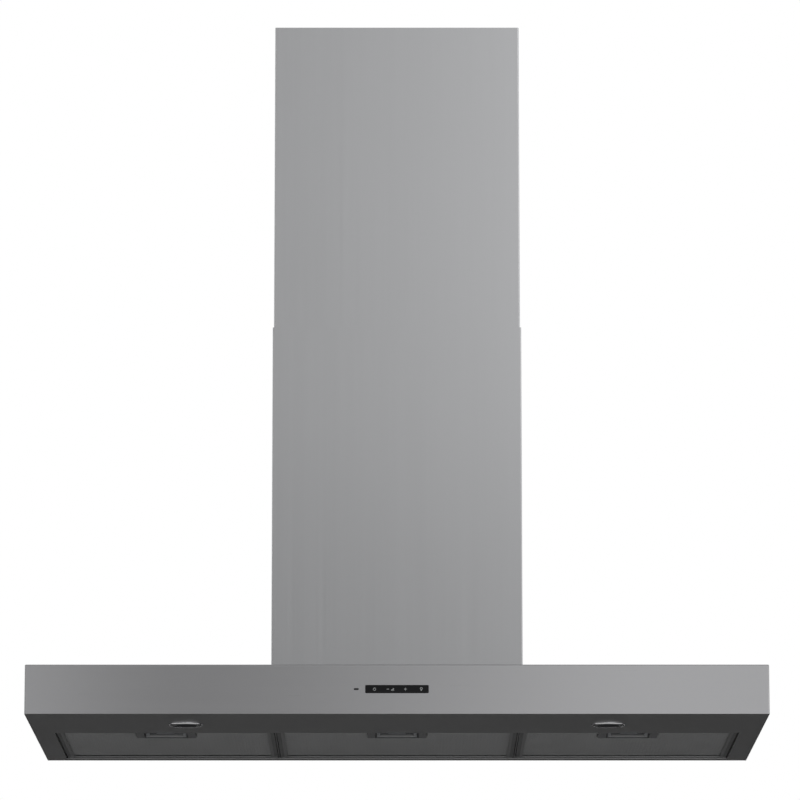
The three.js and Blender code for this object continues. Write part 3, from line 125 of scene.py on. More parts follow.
def near_one(tree, change, amount):
    """A factor that lies round 1: a change times an amount, plus 1."""
    return maths(tree, "ADD", times(tree, change, amount), 1.0)


def scaled(tree, vector, scale, operation="SCALE"):
    """A vector times a number, or times another vector with MULTIPLY."""
    node = tree.nodes.new("ShaderNodeVectorMath")
    node.operation = operation
    tree.links.new(vector, node.inputs[0])
    tree.links.new(scale, node.inputs["Scale" if operation == "SCALE" else 1])
    return node.outputs[0]


def noise(tree, vector, scale, detail=3.0):
    """A Noise texture on a vector socket."""
    node = tree.nodes.new("ShaderNodeTexNoise")
    node.inputs["Scale"].default_value = scale
    node.inputs["Detail"].default_value = detail
    tree.links.new(vector, node.inputs["Vector"])
    return node.outputs["Fac"]


def centred(tree, value):
    """A value of 0 to 1, moved to lie round zero."""
    return maths(tree, "SUBTRACT", value, 0.5)


# %% Brushed grain
# The grain is noise that has been pulled out along the brush: the Stretch vector holds how many
# lines there are per metre in each direction, so the direction of the brush has the least.
brushed, taken, given = start_group(
    "Brushed grain", {"Stretch": (40.0, 40.0, 2500.0), "Contrast": 0.08},
    ["Shade", "Gloss change", "Height"])
pulled = scaled(brushed, taken.outputs["Vector"], taken.outputs["Stretch"], "MULTIPLY")
short_lines = times(brushed, noise(brushed, pulled, 1.0, 4.0), 0.6)
long_lines = times(brushed, noise(brushed, pulled, 0.23, 2.0), 0.4)
lines = maths(brushed, "ADD", short_lines, long_lines)
swing = centred(brushed, lines)
brushed.links.new(near_one(brushed, swing, taken.outputs["Contrast"]), given.inputs["Shade"])
brushed.links.new(times(brushed, swing, 0.15), given.inputs["Gloss change"])
brushed.links.new(lines, given.inputs["Height"])

# %% Wiped smudges
# Where a cloth or a hand has passed, the metal is a touch smoother. Two sizes of soft noise
# make the patches.
smudged, taken, given = start_group(
    "Wiped smudges", {"Size": 4.0, "Amount": 0.05}, ["Gloss change", "Shade"])
patches = scaled(smudged, taken.outputs["Vector"], taken.outputs["Size"])
wide = centred(smudged, noise(smudged, patches, 1.0))
small = centred(smudged, noise(smudged, patches, 5.0))
mixed = maths(smudged, "ADD", wide, times(smudged, small, 0.35))
change = times(smudged, mixed, taken.outputs["Amount"])
smudged.links.new(change, given.inputs["Gloss change"])
smudged.links.new(near_one(smudged, change, 0.5), given.inputs["Shade"])

# %% Moulded texture
# Injection moulds are lightly etched, so a plastic part has a fine pebbled skin.
moulded, taken, given = start_group(
    "Moulded texture", {"Pebbles per metre": 1600.0}, ["Height", "Shade"])
cells = moulded.nodes.new("ShaderNodeTexVoronoi")
cells.feature = "SMOOTH_F1"
moulded.links.new(taken.outputs["Vector"], cells.inputs["Vector"])
moulded.links.new(taken.outputs["Pebbles per metre"], cells.inputs["Scale"])
moulded.links.new(cells.outputs["Distance"], given.inputs["Height"])
tone = centred(moulded, noise(moulded, taken.outputs["Vector"], 60.0))
moulded.links.new(near_one(moulded, tone, 0.12), given.inputs["Shade"])

# %% Zinc spangle
# Galvanised sheet shows flat crystals of zinc, each a slightly different grey and gloss.
spangled, taken, given = start_group(
    "Zinc spangle", {"Crystals per metre": 210.0}, ["Shade", "Gloss change"])
crystals = spangled.nodes.new("ShaderNodeTexVoronoi")
spangled.links.new(taken.outputs["Vector"], crystals.inputs["Vector"])
spangled.links.new(taken.outputs["Crystals per metre"], crystals.inputs["Scale"])
split = spangled.nodes.new("ShaderNodeSeparateColor")
spangled.links.new(crystals.outputs["Color"], split.inputs[0])
greys = centred(spangled, split.outputs[0])
spangled.links.new(near_one(spangled, greys, 0.14), given.inputs["Shade"])
spangled.links.new(times(spangled, greys, 0.06), given.inputs["Gloss change"])

# %% Settled dust
# Dust lies on what faces up, in thin uneven drifts. The mask is the height of the surface's
# own normal, broken up by noise.
dusted, taken, given = start_group("Settled dust", {"Amount": 0.3}, ["Mask"])
facing = dusted.nodes.new("ShaderNodeNewGeometry")
up = dusted.nodes.new("ShaderNodeSeparateXYZ")
dusted.links.new(facing.outputs["Normal"], up.inputs[0])
steep = maths(dusted, "SUBTRACT", up.outputs["Z"], 0.6)
flat = maths(dusted, "MULTIPLY", steep, 2.5, clamp=True)
drift = times(dusted, flat, noise(dusted, taken.outputs["Vector"], 35.0))
dusted.links.new(times(dusted, drift, taken.outputs["Amount"]), given.inputs["Mask"])

# %% [markdown]
# ## Finishes
#
# A finish is one Principled shader with its constant numbers written on its own sockets, and
# the groups feed what changes over the surface. All patterns read Object coordinates, so the
# grain is the same size on every piece and stays with it when a joint moves.
#
# Brushed metal doesn't scatter light the same way in all directions: the reflection smears
# across the brush lines and stays sharp along them. The Anisotropic value does that. Its
# direction comes from a Tangent node set to turn round the vertical axis, which lies level on
# the fascia, the sides and the chimney. A fold has lost that order, so it has a rougher finish in
# a darker grey, and the folds that look up get a still darker one, which is painted shade.

# %% Helpers for finishes
DUST = (0.46, 0.45, 0.43, 1.0)


def start_finish(name, colour, roughness, metallic=0.0):
    """A material, its node tree, its Principled shader and its Object coordinates."""
    finish = bpy.data.materials.new(name)
    finish.use_nodes = True
    finish.diffuse_color = (*colour, 1.0)
    tree = finish.node_tree
    shader = tree.nodes["Principled BSDF"]
    shader.inputs["Base Color"].default_value = (*colour, 1.0)
    shader.inputs["Roughness"].default_value = roughness
    shader.inputs["Metallic"].default_value = metallic
    place = tree.nodes.new("ShaderNodeTexCoord").outputs["Object"]
    return finish, tree, shader, place


def use(tree, group, place, **values):
    """Places a node group in a material and sets its inputs; underscores stand for spaces."""
    node = tree.nodes.new("ShaderNodeGroup")
    node.node_tree = group
    tree.links.new(place, node.inputs["Vector"])
    for label, value in values.items():
        node.inputs[label.replace("_", " ")].default_value = value
    return node.outputs


def shade(tree, shader, *factors):
    """Base colour times every factor socket."""
    colour = shader.inputs["Base Color"]
    product = factors[0]
    for factor in factors[1:]:
        product = times(tree, product, factor)
    tinted = tree.nodes.new("ShaderNodeVectorMath")
    tinted.operation = "SCALE"
    tinted.inputs[0].default_value = colour.default_value[:3]
    tree.links.new(product, tinted.inputs["Scale"])
    tree.links.new(tinted.outputs[0], colour)


def gloss(tree, shader, *changes):
    """Roughness plus every change socket."""
    roughness = shader.inputs["Roughness"]
    total = roughness.default_value
    for change in changes:
        total = maths(tree, "ADD", change, total)
    tree.links.new(total, roughness)


def relief(tree, shader, height, depth):
    """A bump of that depth in metres from a height socket."""
    bump = tree.nodes.new("ShaderNodeBump")
    bump.inputs["Strength"].default_value = 1.0
    bump.inputs["Distance"].default_value = depth
    tree.links.new(height, bump.inputs["Height"])
    tree.links.new(bump.outputs["Normal"], shader.inputs["Normal"])


def add_dust(tree, shader, place, amount):
    """Mixes a dust colour over the shaded base colour where the surface faces up."""
    base = shader.inputs["Base Color"]
    mix = tree.nodes.new("ShaderNodeMix")
    mix.data_type = "RGBA"
    tree.links.new(use(tree, dusted, place, Amount=amount)["Mask"], mix.inputs["Factor"])
    tree.links.new(base.links[0].from_socket, mix.inputs["A"])
    mix.inputs["B"].default_value = DUST
    tree.links.new(mix.outputs["Result"], base)


# %% Brushed sheet metal
LEVEL_BRUSH = (5.0, 5.0, 2200.0)
UPRIGHT_BRUSH = (2200.0, 2200.0, 4.0)
SIDEWAYS_BRUSH = (6.0, 1100.0, 1100.0)
BRUSH_DEPTH = 0.00001


def brushed_metal(name, colour, roughness, stretch, contrast, lean=0.0, turned=0.0):
    """Steel brushed along the direction that has the least Stretch."""
    finish, tree, shader, place = start_finish(name, colour, roughness, metallic=1.0)
    shader.inputs["Anisotropic"].default_value = lean
    shader.inputs["Anisotropic Rotation"].default_value = turned
    if lean:
        around = tree.nodes.new("ShaderNodeTangent")
        around.direction_type = "RADIAL"
        around.axis = "Z"
        tree.links.new(around.outputs[0], shader.inputs["Tangent"])
    grain = use(tree, brushed, place, Stretch=stretch, Contrast=contrast)
    wiped = use(tree, smudged, place, Size=5.0, Amount=0.015)
    shade(tree, shader, grain["Shade"], wiped["Shade"])
    gloss(tree, shader, grain["Gloss change"], wiped["Gloss change"])
    relief(tree, shader, grain["Height"], BRUSH_DEPTH)
    return finish


canopy_steel = brushed_metal(
    "canopy_steel", (0.438, 0.438, 0.448), 0.3, LEVEL_BRUSH, 0.045, lean=0.75, turned=0.25)
bent_steel = brushed_metal("bent_steel", (0.34, 0.34, 0.345), 0.42, LEVEL_BRUSH, 0.045)
# The darkest fold finish is painted shade, for the folds that look up.
top_fold_painted_shade = brushed_metal("top_fold_painted_shade", (0.19, 0.19, 0.193), 0.42, LEVEL_BRUSH, 0.045)
chimney_steel = brushed_metal(
    "chimney_steel", (0.44, 0.443, 0.452), 0.31, UPRIGHT_BRUSH, 0.03, lean=0.4)
# The underside's sheet is brushed across and rougher; its base grey, darker than the canopy's, is
# painted shade, and the rest of its darkness comes from the dark cloth.
underside_steel = brushed_metal(
    "underside_steel", (0.38, 0.38, 0.385), 0.38, SIDEWAYS_BRUSH, 0.12)
print("brushed finishes:", len(bpy.data.materials))

# %% Plain metals
def plain_metal(name, colour, roughness, polish):
    """Folded, cast or turned metal with a soft variation in its gloss."""
    finish, tree, shader, place = start_finish(name, colour, roughness, metallic=1.0)
    wiped = use(tree, smudged, place, Size=22.0, Amount=polish)
    shade(tree, shader, wiped["Shade"])
    gloss(tree, shader, wiped["Gloss change"])
    return finish, tree, shader, place


def folded_aluminium(name, colour, roughness, stretch):
    """Aluminium strip with rolling lines, which show as relief alone."""
    finish, tree, shader, place = plain_metal(name, colour, roughness, 0.04)
    grain = use(tree, brushed, place, Stretch=stretch, Contrast=0.1)
    relief(tree, shader, grain["Height"], BRUSH_DEPTH)
    return finish


frame_aluminium = folded_aluminium(
    "folded_aluminium", (0.41, 0.413, 0.417), 0.38, (30.0, 900.0, 900.0))
# The channel's end strips: real crosswise grain, and a darker grey that is painted shade beside the
# dividers.
channel_ends_painted_shade = folded_aluminium(
    "folded_aluminium_painted_shade", (0.25, 0.253, 0.256), 0.42, (900.0, 30.0, 900.0))
mesh_aluminium = plain_metal("mesh_aluminium", (0.5, 0.503, 0.506), 0.5, 0.08)[0]
polished_trim = plain_metal("polished_trim", (0.72, 0.72, 0.73), 0.13, 0.03)[0]

cast_aluminium, tree, shader, place = plain_metal("cast_aluminium", (0.6, 0.605, 0.61), 0.5, 0.08)
pebbles = use(tree, moulded, place, Pebbles_per_metre=700.0)
relief(tree, shader, pebbles["Height"], 0.00008)
add_dust(tree, shader, place, 0.4)

motor_steel, tree, shader, place = plain_metal("turned_steel", (0.5, 0.505, 0.51), 0.3, 0.06)
turning = use(tree, brushed, place, Stretch=(1800.0, 40.0, 40.0), Contrast=0.2)
shade(tree, shader, turning["Shade"])
relief(tree, shader, turning["Height"], 0.00002)

galvanised, tree, shader, place = start_finish("galvanised", (0.56, 0.58, 0.59), 0.42, metallic=1.0)
crystals = use(tree, spangled, place)
shade(tree, shader, crystals["Shade"])
gloss(tree, shader, crystals["Gloss change"])
add_dust(tree, shader, place, 0.35)
print("with plain metals:", len(bpy.data.materials))

# %% Plastics, glass and board
def moulding(name, colour, roughness, depth=0.00004, dust=0.0, pebbles=1600.0):
    """Injection-moulded plastic with an etched skin."""
    finish, tree, shader, place = start_finish(name, colour, roughness)
    skin = use(tree, moulded, place, Pebbles_per_metre=pebbles)
    shade(tree, shader, skin["Shade"])
    relief(tree, shader, skin["Height"], depth)
    if dust:
        add_dust(tree, shader, place, dust)
    return finish


def smooth_glass(name, colour, roughness, size):
    """Dark glass with finger marks in its gloss."""
    finish, tree, shader, place = start_finish(name, colour, roughness)
    prints = use(tree, smudged, place, Size=size, Amount=0.06)
    gloss(tree, shader, prints["Gloss change"])
    return finish


def sockets(finish):
    """The sockets of a finish's Principled shader."""
    return finish.node_tree.nodes["Principled BSDF"].inputs


latch_plastic = moulding("latch_plastic", (0.075, 0.075, 0.077), 0.5)
# The grip's lighter grey is painted light: the plate and the finger bar lie in shade inside the cup.
latch_grip = moulding("latch_grip", (0.22, 0.222, 0.225), 0.42, 0.00002)
black_plastic = moulding("black_plastic", (0.025, 0.025, 0.027), 0.5, dust=0.2)
grey_plastic = moulding("grey_plastic", (0.12, 0.125, 0.13), 0.48, dust=0.2)
light_plastic = moulding("light_plastic", (0.52, 0.53, 0.54), 0.4, 0.00002, dust=0.25)
white_plastic = moulding("white_plastic", (0.7, 0.7, 0.68), 0.45, dust=0.25)

lamp_glass = moulding("lamp_glass", (0.03, 0.03, 0.032), 0.12, 0.00005, pebbles=900.0)
sockets(lamp_glass)["Coat Weight"].default_value = 0.5
touch_glass = smooth_glass("touch_glass", (0.006, 0.006, 0.007), 0.06, 60.0)
sockets(touch_glass)["Specular IOR Level"].default_value = 0.25
smoked_window = smooth_glass("smoked_window", (0.03, 0.03, 0.032), 0.12, 80.0)

printed_mark, tree, shader, place = start_finish("printed_mark", (0.36, 0.37, 0.37), 0.5)
ink = use(tree, smudged, place, Size=400.0, Amount=0.3)
shade(tree, shader, ink["Shade"])

circuit_board, tree, shader, place = start_finish("circuit_board", (0.02, 0.11, 0.05), 0.35)
copper = tree.nodes.new("ShaderNodeTexBrick")
tracks = {
    "Scale": 160.0, "Mortar Size": 0.04, "Color1": (0.02, 0.11, 0.05, 1.0),
    "Color2": (0.03, 0.14, 0.06, 1.0), "Mortar": (0.09, 0.24, 0.12, 1.0)}
for label, value in tracks.items():
    copper.inputs[label].default_value = value
across = tree.nodes.new("ShaderNodeMapping")
across.inputs["Rotation"].default_value = (math.radians(90.0), 0.0, 0.0)
tree.links.new(place, across.inputs["Vector"])
tree.links.new(across.outputs[0], copper.inputs["Vector"])
tree.links.new(copper.outputs["Color"], shader.inputs["Base Color"])
print("all finishes:", len(bpy.data.materials))

# %% Dress the frame's own pieces
# The fan, the electrics and the fixings are right in shape as they come, so they keep their
# solids and only take a finish.
dressed = {
    underside_steel: ["intake_panel", "filter_divider_left", "filter_divider_right"],
    galvanised: ["inner_bulkhead", "back_panel", "blower_box", "motor_bracket", "chimney_bracket",
                 "chimney_foot_left", "chimney_foot_right"],
    cast_aluminium: ["lamp_body_left", "lamp_body_right"],
    motor_steel: ["motor", "motor_shaft", "damper_pin"],
    black_plastic: ["control_housing", "volute_left", "volute_right", "outlet_collar", "cable_gland"],
    grey_plastic: ["inlet_ring_left", "inlet_ring_right", "damper_flap_front", "damper_flap_rear"],
    light_plastic: ["impeller"],
    white_plastic: ["capacitor", "junction_box", "junction_box_lid", "led_driver"],
    circuit_board: ["control_board"],
}
for finish, names in dressed.items():
    for name in names:
        for slot in nodes[name].material_slots:
            slot.material = finish
print("dressed", sum(len(names) for names in dressed.values()), "of", len(nodes), "pieces")

# %% [markdown]
# ## Tools of the sheet-metal shop
#
# A folded sheet starts as a flat strip, is bent with a small radius and has one even
# thickness. In Blender the same order works well: draw the outside face, bevel the edges that
# are folds, and let a Solidify modifier give the thickness inwards. Holes are punched with a
# Boolean modifier. Sizes below are in millimetres, as on a shop drawing.

# %% Helpers for blocks and their edges
MM = 0.001
SLACK = 0.01
AXES = {"x": 0, "y": 1, "z": 2}
SIDES = ("left", "centre", "right")


def span(node):
    """The lowest and highest corner of a frame piece, in millimetres."""
    low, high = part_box(node)
    return low / MM, high / MM


def block(low, high):
    """A closed block between two corners."""
    bm = bmesh.new()
    low, high = Vector(low) * MM, Vector(high) * MM
    bmesh.ops.create_cube(bm, size=1.0)
    bmesh.ops.scale(bm, vec=high - low, verts=bm.verts)
    bmesh.ops.translate(bm, vec=(low + high) / 2, verts=bm.verts)
    return bm


def edges_on(bm, **planes):
    """The edges that lie in every plane named, such as y=-450, z=60."""
    found = bm.edges[:]
    for axis, place in planes.items():
        found = [e for e in found if all(abs(v.co[AXES[axis]] / MM - place) < SLACK for v in e.verts)]
    return found


def edges_along(bm, axis):
    """The edges that run along an axis."""
    found = []
    for edge in bm.edges:
        run = edge.verts[0].co - edge.verts[1].co
        if abs(run[AXES[axis]]) > 0.99 * run.length:
            found.append(edge)
    return found


def roll(bm, edges, radius, segments=4):
    """Rounds edges to a radius."""
    bmesh.ops.bevel(
        bm, geom=edges, offset=radius * MM, segments=segments, profile=0.5,
        affect="EDGES", clamp_overlap=True, material=-1)


def move(bm, geometry, step):
    """Moves the vertices among some geometry."""
    verts = [item for item in geometry if isinstance(item, bmesh.types.BMVert)]
    bmesh.ops.translate(bm, vec=Vector(step) * MM, verts=verts)


# %% Helpers for turned and joined shapes
def turned_shape(profile, centre, axis="z", steps=64):
    """A (radius, height) profile turned round an axis through a point; poles are closed."""
    bm = bmesh.new()
    points = []
    for radius, height in profile:
        at = (radius, 0.0, height) if axis == "z" else (radius, height, 0.0)
        points.append(bm.verts.new(Vector(at) * MM))
    for first, second in zip(points, points[1:]):
        bm.edges.new((first, second))
    turning = Vector((0, 0, 1)) if axis == "z" else Vector((0, 1, 0))
    bmesh.ops.spin(
        bm, geom=bm.verts[:] + bm.edges[:], cent=(0, 0, 0), axis=turning, angle=math.tau,
        steps=steps, use_merge=True, use_duplicate=False)
    bmesh.ops.remove_doubles(bm, verts=bm.verts, dist=1e-6)
    bmesh.ops.recalc_face_normals(bm, faces=bm.faces)
    bmesh.ops.translate(bm, vec=Vector(centre) * MM, verts=bm.verts)
    return bm


def together(*parts):
    """Several bmeshes as one."""
    whole = bmesh.new()
    for part in parts:
        carrier = bpy.data.meshes.new("carrier")
        part.to_mesh(carrier)
        part.free()
        whole.from_mesh(carrier)
        bpy.data.meshes.remove(carrier)
    return whole


def face_front(bm):
    """Turns a sheet so that its frontmost face looks to the front."""
    bmesh.ops.recalc_face_normals(bm, faces=bm.faces)
    front = min(bm.faces, key=lambda face: face.calc_center_median().y)
    if front.normal.y > 0:
        bmesh.ops.reverse_faces(bm, faces=bm.faces)


# %% Helpers for finished pieces
SHARP_TURN = math.radians(32.0)


def apply_modifiers(piece):
    """Gives the piece the mesh that its modifiers make."""
    bpy.context.view_layer.update()
    shaped = piece.evaluated_get(bpy.context.evaluated_depsgraph_get())
    mesh = bpy.data.meshes.new_from_object(shaped)
    piece.modifiers.clear()
    former, piece.data = piece.data, mesh
    bpy.data.meshes.remove(former)
    mesh.name = piece.name


def mark_sharp(piece):
    """Shades a piece smooth, except across its sharp edges."""
    piece.data.shade_smooth()
    piece.data.set_sharp_from_angle(angle=SHARP_TURN)


def make_piece(name, bm, finish, body, stands_for=()):
    """Turns a bmesh into a piece that rides on a body."""
    mesh = bpy.data.meshes.new(name)
    bm.normal_update()
    bm.to_mesh(mesh)
    bm.free()
    mesh.materials.append(finish)
    piece = bpy.data.objects.new(name, mesh)
    bpy.context.scene.collection.objects.link(piece)
    mark_sharp(piece)
    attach(piece, body)
    if stands_for:
        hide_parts(*stands_for)
    print(name, len(piece.data.polygons), "faces")
    return piece


def thicken(piece, thickness):
    """Gives an outside face its sheet thickness, inwards."""
    sheet = piece.modifiers.new("sheet", "SOLIDIFY")
    sheet.thickness = thickness * MM
    sheet.offset = -1.0
    sheet.use_even_offset = True
    apply_modifiers(piece)
    mark_sharp(piece)


def punch(piece, *punches):
    """Cuts closed shapes out of a piece."""
    mesh = bpy.data.meshes.new("punch")
    tool_shape = together(*punches)
    tool_shape.to_mesh(mesh)
    tool_shape.free()
    tool = bpy.data.objects.new("punch", mesh)
    bpy.context.scene.collection.objects.link(tool)
    hole = piece.modifiers.new("hole", "BOOLEAN")
    hole.operation = "DIFFERENCE"
    hole.solver = "EXACT"
    hole.object = tool
    apply_modifiers(piece)
    mark_sharp(piece)
    bpy.data.objects.remove(tool)
    bpy.data.meshes.remove(mesh)
    print("punched", piece.name, "to", len(piece.data.polygons), "faces")


def weigh_normals(piece):
    """Makes normals follow the largest faces, or a flat beside a round fold looks bent too."""
    even = piece.modifiers.new("even", "WEIGHTED_NORMAL")
    even.keep_sharp = True
    even.weight = 100
    apply_modifiers(piece)


# %% [markdown]
# ## The canopy
#
# The canopy is one sheet of steel: the top, the two sides and the fascia are folded down from
# it, and the front corners are welded and ground to a small radius. It could be a box with a
# thickness, but then its folds would be knife edges that never catch the light. So the box
# loses its open faces, the folds are rolled to a radius of 1.6 mm, and only then the sheet
# gets its thickness. The slots for the controls and the hole for the air are punched last.
# Bending stretches the brushed skin, so the folds get a rougher, darker finish; the folds that
# look up get a still darker one, which is painted shade along the top folds.

# %% The canopy cover
CANOPY_FOLD, CANOPY_SHEET = 1.6, 1.0

low, high = span("canopy_shell")
shell = block(low, high)
open_faces = [face for face in shell.faces if face.normal.z < -0.5 or face.normal.y > 0.5]
bmesh.ops.delete(shell, geom=open_faces, context="FACES_ONLY")
folds = edges_on(shell, y=low.y, z=high.z)
for end in (low.x, high.x):
    folds += edges_on(shell, x=end, z=high.z) + edges_on(shell, x=end, y=low.y)
roll(shell, folds, CANOPY_FOLD, 5)
canopy = make_piece("canopy_cover", shell, canopy_steel, "root", ["canopy_shell"])
thicken(canopy, CANOPY_SHEET)

# %% The openings in the canopy
SLOT_GAP, SLOT_CORNER = 0.3, 1.1
AIR_RIM, AIR_CORNER = Vector((13, 12, 0)), 6
NOTCH_HALF, NOTCH_DEPTH = 120.3, 1.3
GLAND_HOLE = 6.3


def fascia_slot(node, front, segments):
    """A slot through the fascia, round a piece that is let into it."""
    low, high = span(node)
    slot = block(
        (low.x - SLOT_GAP, front - 1, low.z - SLOT_GAP),
        (high.x + SLOT_GAP, front + 2, high.z + SLOT_GAP))
    roll(slot, edges_along(slot, "y"), SLOT_CORNER, segments)
    return slot


bar_slot = fascia_slot("control_glass", low.y, 3)
window_slot = fascia_slot("indicator_window", low.y, 4)
under, over = high.z - 3, high.z + 1
box_low, box_high = span("blower_box")
air_low, air_high = box_low + AIR_RIM, box_high - AIR_RIM
air_hole = block((air_low.x, air_low.y, under), (air_high.x, air_high.y, over))
roll(air_hole, edges_along(air_hole, "z"), AIR_CORNER, 4)
wall_notch = block((-NOTCH_HALF, -NOTCH_DEPTH, under), (NOTCH_HALF, 1, over))
gland_low, gland_high = span("cable_gland")
gland = (gland_low + gland_high) / 2
gland_hole = turned_shape(
    [(0, under), (GLAND_HOLE, under), (GLAND_HOLE, over), (0, over)], (gland.x, gland.y, 0), steps=32)
punch(canopy, bar_slot, window_slot, air_hole, wall_notch, gland_hole)
weigh_normals(canopy)

# %% Duller folds, with painted shade on those that look up
FLAT_ENOUGH, LOOKS_UP = 0.98, 0.15

canopy.data.materials.append(bent_steel)
canopy.data.materials.append(top_fold_painted_shade)
bends = [face for face in canopy.data.polygons if max(map(abs, face.normal)) < FLAT_ENOUGH]
# Bends that look up take the darkest fold finish, which is painted shade along the top folds.
for face in bends:
    face.material_index = 2 if face.normal.z > LOOKS_UP else 1
print("faces on a bend:", len(bends))

# %% [markdown]
# ## The chimney
#
# Each chimney cover is a U of thin sheet with a small return at the wall. The upper one slides
# inside the lower one, so it is narrower by one sheet and a hair of air, and that step is all
# that tells them apart in the picture. The fold line is drawn as an open path, pulled up to
# the full height, and each corner is then rolled. Near its top the upper cover has a ladder
# of slots on each side, through which the kitchen air can also leave.

# %% The chimney covers
CHIMNEY_FOLD, CHIMNEY_SHEET, RETURN = 1.5, 0.8, 15.0


def folded_cover(node):
    """A U-shaped cover with the box of a frame piece."""
    low, high = span(node)
    left = [(low.x + RETURN, high.y), (low.x, high.y), (low.x, low.y)]
    right = [(high.x, low.y), (high.x, high.y), (high.x - RETURN, high.y)]
    bm = bmesh.new()
    foot = [bm.verts.new((x * MM, y * MM, low.z * MM)) for x, y in left + right]
    edges = [bm.edges.new(pair) for pair in zip(foot, foot[1:])]
    grown = bmesh.ops.extrude_edge_only(bm, edges=edges)["geom"]
    move(bm, grown, (0, 0, high.z - low.z))
    face_front(bm)
    roll(bm, [edge for edge in bm.edges if len(edge.link_faces) == 2], CHIMNEY_FOLD, 5)
    return bm


covers = []
for part, body in (("lower", "root"), ("upper", "upper_chimney")):
    node = f"{part}_chimney"
    cover = make_piece(
        f"{part}_cover", folded_cover(node), chimney_steel, body, [node])
    thicken(cover, CHIMNEY_SHEET)
    covers.append(cover)

# %% The air slots
SLOT_ROWS, SLOT_PITCH, TOP_SLOT = 6, 11, 70
SLOT_LENGTH, SLOT_HEIGHT, SLOT_END = 90, 4, 1.95

low, high = span("upper_chimney")
middle_y = (low.y + high.y) / 2
slots = []
for row in range(SLOT_ROWS):
    z = high.z - TOP_SLOT - SLOT_PITCH * row
    slot = block(
        (low.x - 2, middle_y - SLOT_LENGTH / 2, z - SLOT_HEIGHT / 2),
        (high.x + 2, middle_y + SLOT_LENGTH / 2, z + SLOT_HEIGHT / 2))
    roll(slot, edges_along(slot, "x"), SLOT_END, 4)
    slots.append(slot)
punch(covers[1], *slots)
for cover in covers:
    weigh_normals(cover)

# %% [markdown]
# ## The touch bar
#
# The controls are a strip of black glass let into the fascia, with pale marks printed behind
# it, and a tiny smoked window at its left. Each mark is about 3 mm wide and is made from rings
# and bars, as thin plates that lie on the glass: a ring with a stroke, a minus, three rising
# bars, a plus and a small bulb.

# %% The glass and the window
GLASS_RECESS = 0.08


def inlaid_glass(name, node, finish, corner, rim):
    """A glass let into the fascia; its corners and its front rim are rounded."""
    low, high = span(node)
    front = low.y + GLASS_RECESS
    bm = block((low.x, front, low.z), high)
    roll(bm, edges_along(bm, "y"), corner, 4)
    roll(bm, edges_on(bm, y=front), rim, 2)
    weigh_normals(make_piece(name, bm, finish, "root", [node]))
    return front


glass_face = inlaid_glass("touch_bar", "control_glass", touch_glass, 0.8, 0.25)
inlaid_glass("smoked_indicator", "indicator_window", smoked_window, 0.85, 0.2)

# %% The printed marks
MARK_Z = 30.0
MARK_FRONT, MARK_BACK = -0.05, 0.02


def bar_mark(x, rise, width, height):
    """A small upright plate on the glass, at a height above or below the marks' middle."""
    z = MARK_Z + rise
    return block(
        (x - width / 2, glass_face + MARK_FRONT, z - height / 2),
        (x + width / 2, glass_face + MARK_BACK, z + height / 2))


def ring_mark(x, rise, radius, line):
    """A small ring on the glass."""
    hole = radius - line
    section = [
        (hole, MARK_FRONT), (radius, MARK_FRONT), (radius, MARK_BACK), (hole, MARK_BACK),
        (hole, MARK_FRONT)]
    return turned_shape(section, (x, glass_face, MARK_Z + rise), axis="y", steps=28)


marks = {
    "mark_power": [ring_mark(-27.0, 0.0, 1.8, 0.5), bar_mark(-27.0, 1.2, 0.5, 1.5)],
    "mark_minus": [bar_mark(-11.0, 0.0, 3.0, 0.6)],
    "mark_level": [bar_mark(1.3 * i - 6.6, 0.45 * i - 1.2, 0.7, 0.9 * i + 1.4) for i in range(3)],
    "mark_plus": [bar_mark(10.2, 0.0, 3.2, 0.7), bar_mark(10.2, 0.0, 0.7, 3.2)],
    "mark_lamp": [ring_mark(29.3, 0.7, 1.5, 0.6), bar_mark(29.3, -1.5, 1.1, 1.2)],
}
for name, shapes in marks.items():
    make_piece(name, together(*shapes), printed_mark, "root")

# %% [markdown]
# ## The lamps
#
# Each lamp is a polished ring round a black sleeve, with a smoked lens at the sleeve's end.
# The ring has a thin flange against the sheet and a domed lip that hangs 2.4 mm below it.
# From so low an angle the front of the dome mirrors the bright room, and below it only the
# sleeve's rear wall can be seen, which is why the lamp looks like a bright line over a dark
# one. Round things are best turned: the section of each piece is drawn once and spun round the
# lamp's axis.

# %% Lamp rings, sleeves and lenses
DOME_WIDTH, DOME_HEIGHT = 3.0, 1.6
DOME_TURNS = [math.radians(11.25 * step) for step in range(9)]
FLANGE_WIDTH, FLANGE_HEIGHT = 0.8, 0.7
NECK_STEP = 2.5
LENS_REST, LENS_PLAY = 1.5, 0.3
SLEEVE_GAP, SLEEVE_WALL = 0.1, 0.7
BULGE = [(0.0, 0.05), (5.0, 0.1), (9.0, 0.25), (12.0, 0.5)]

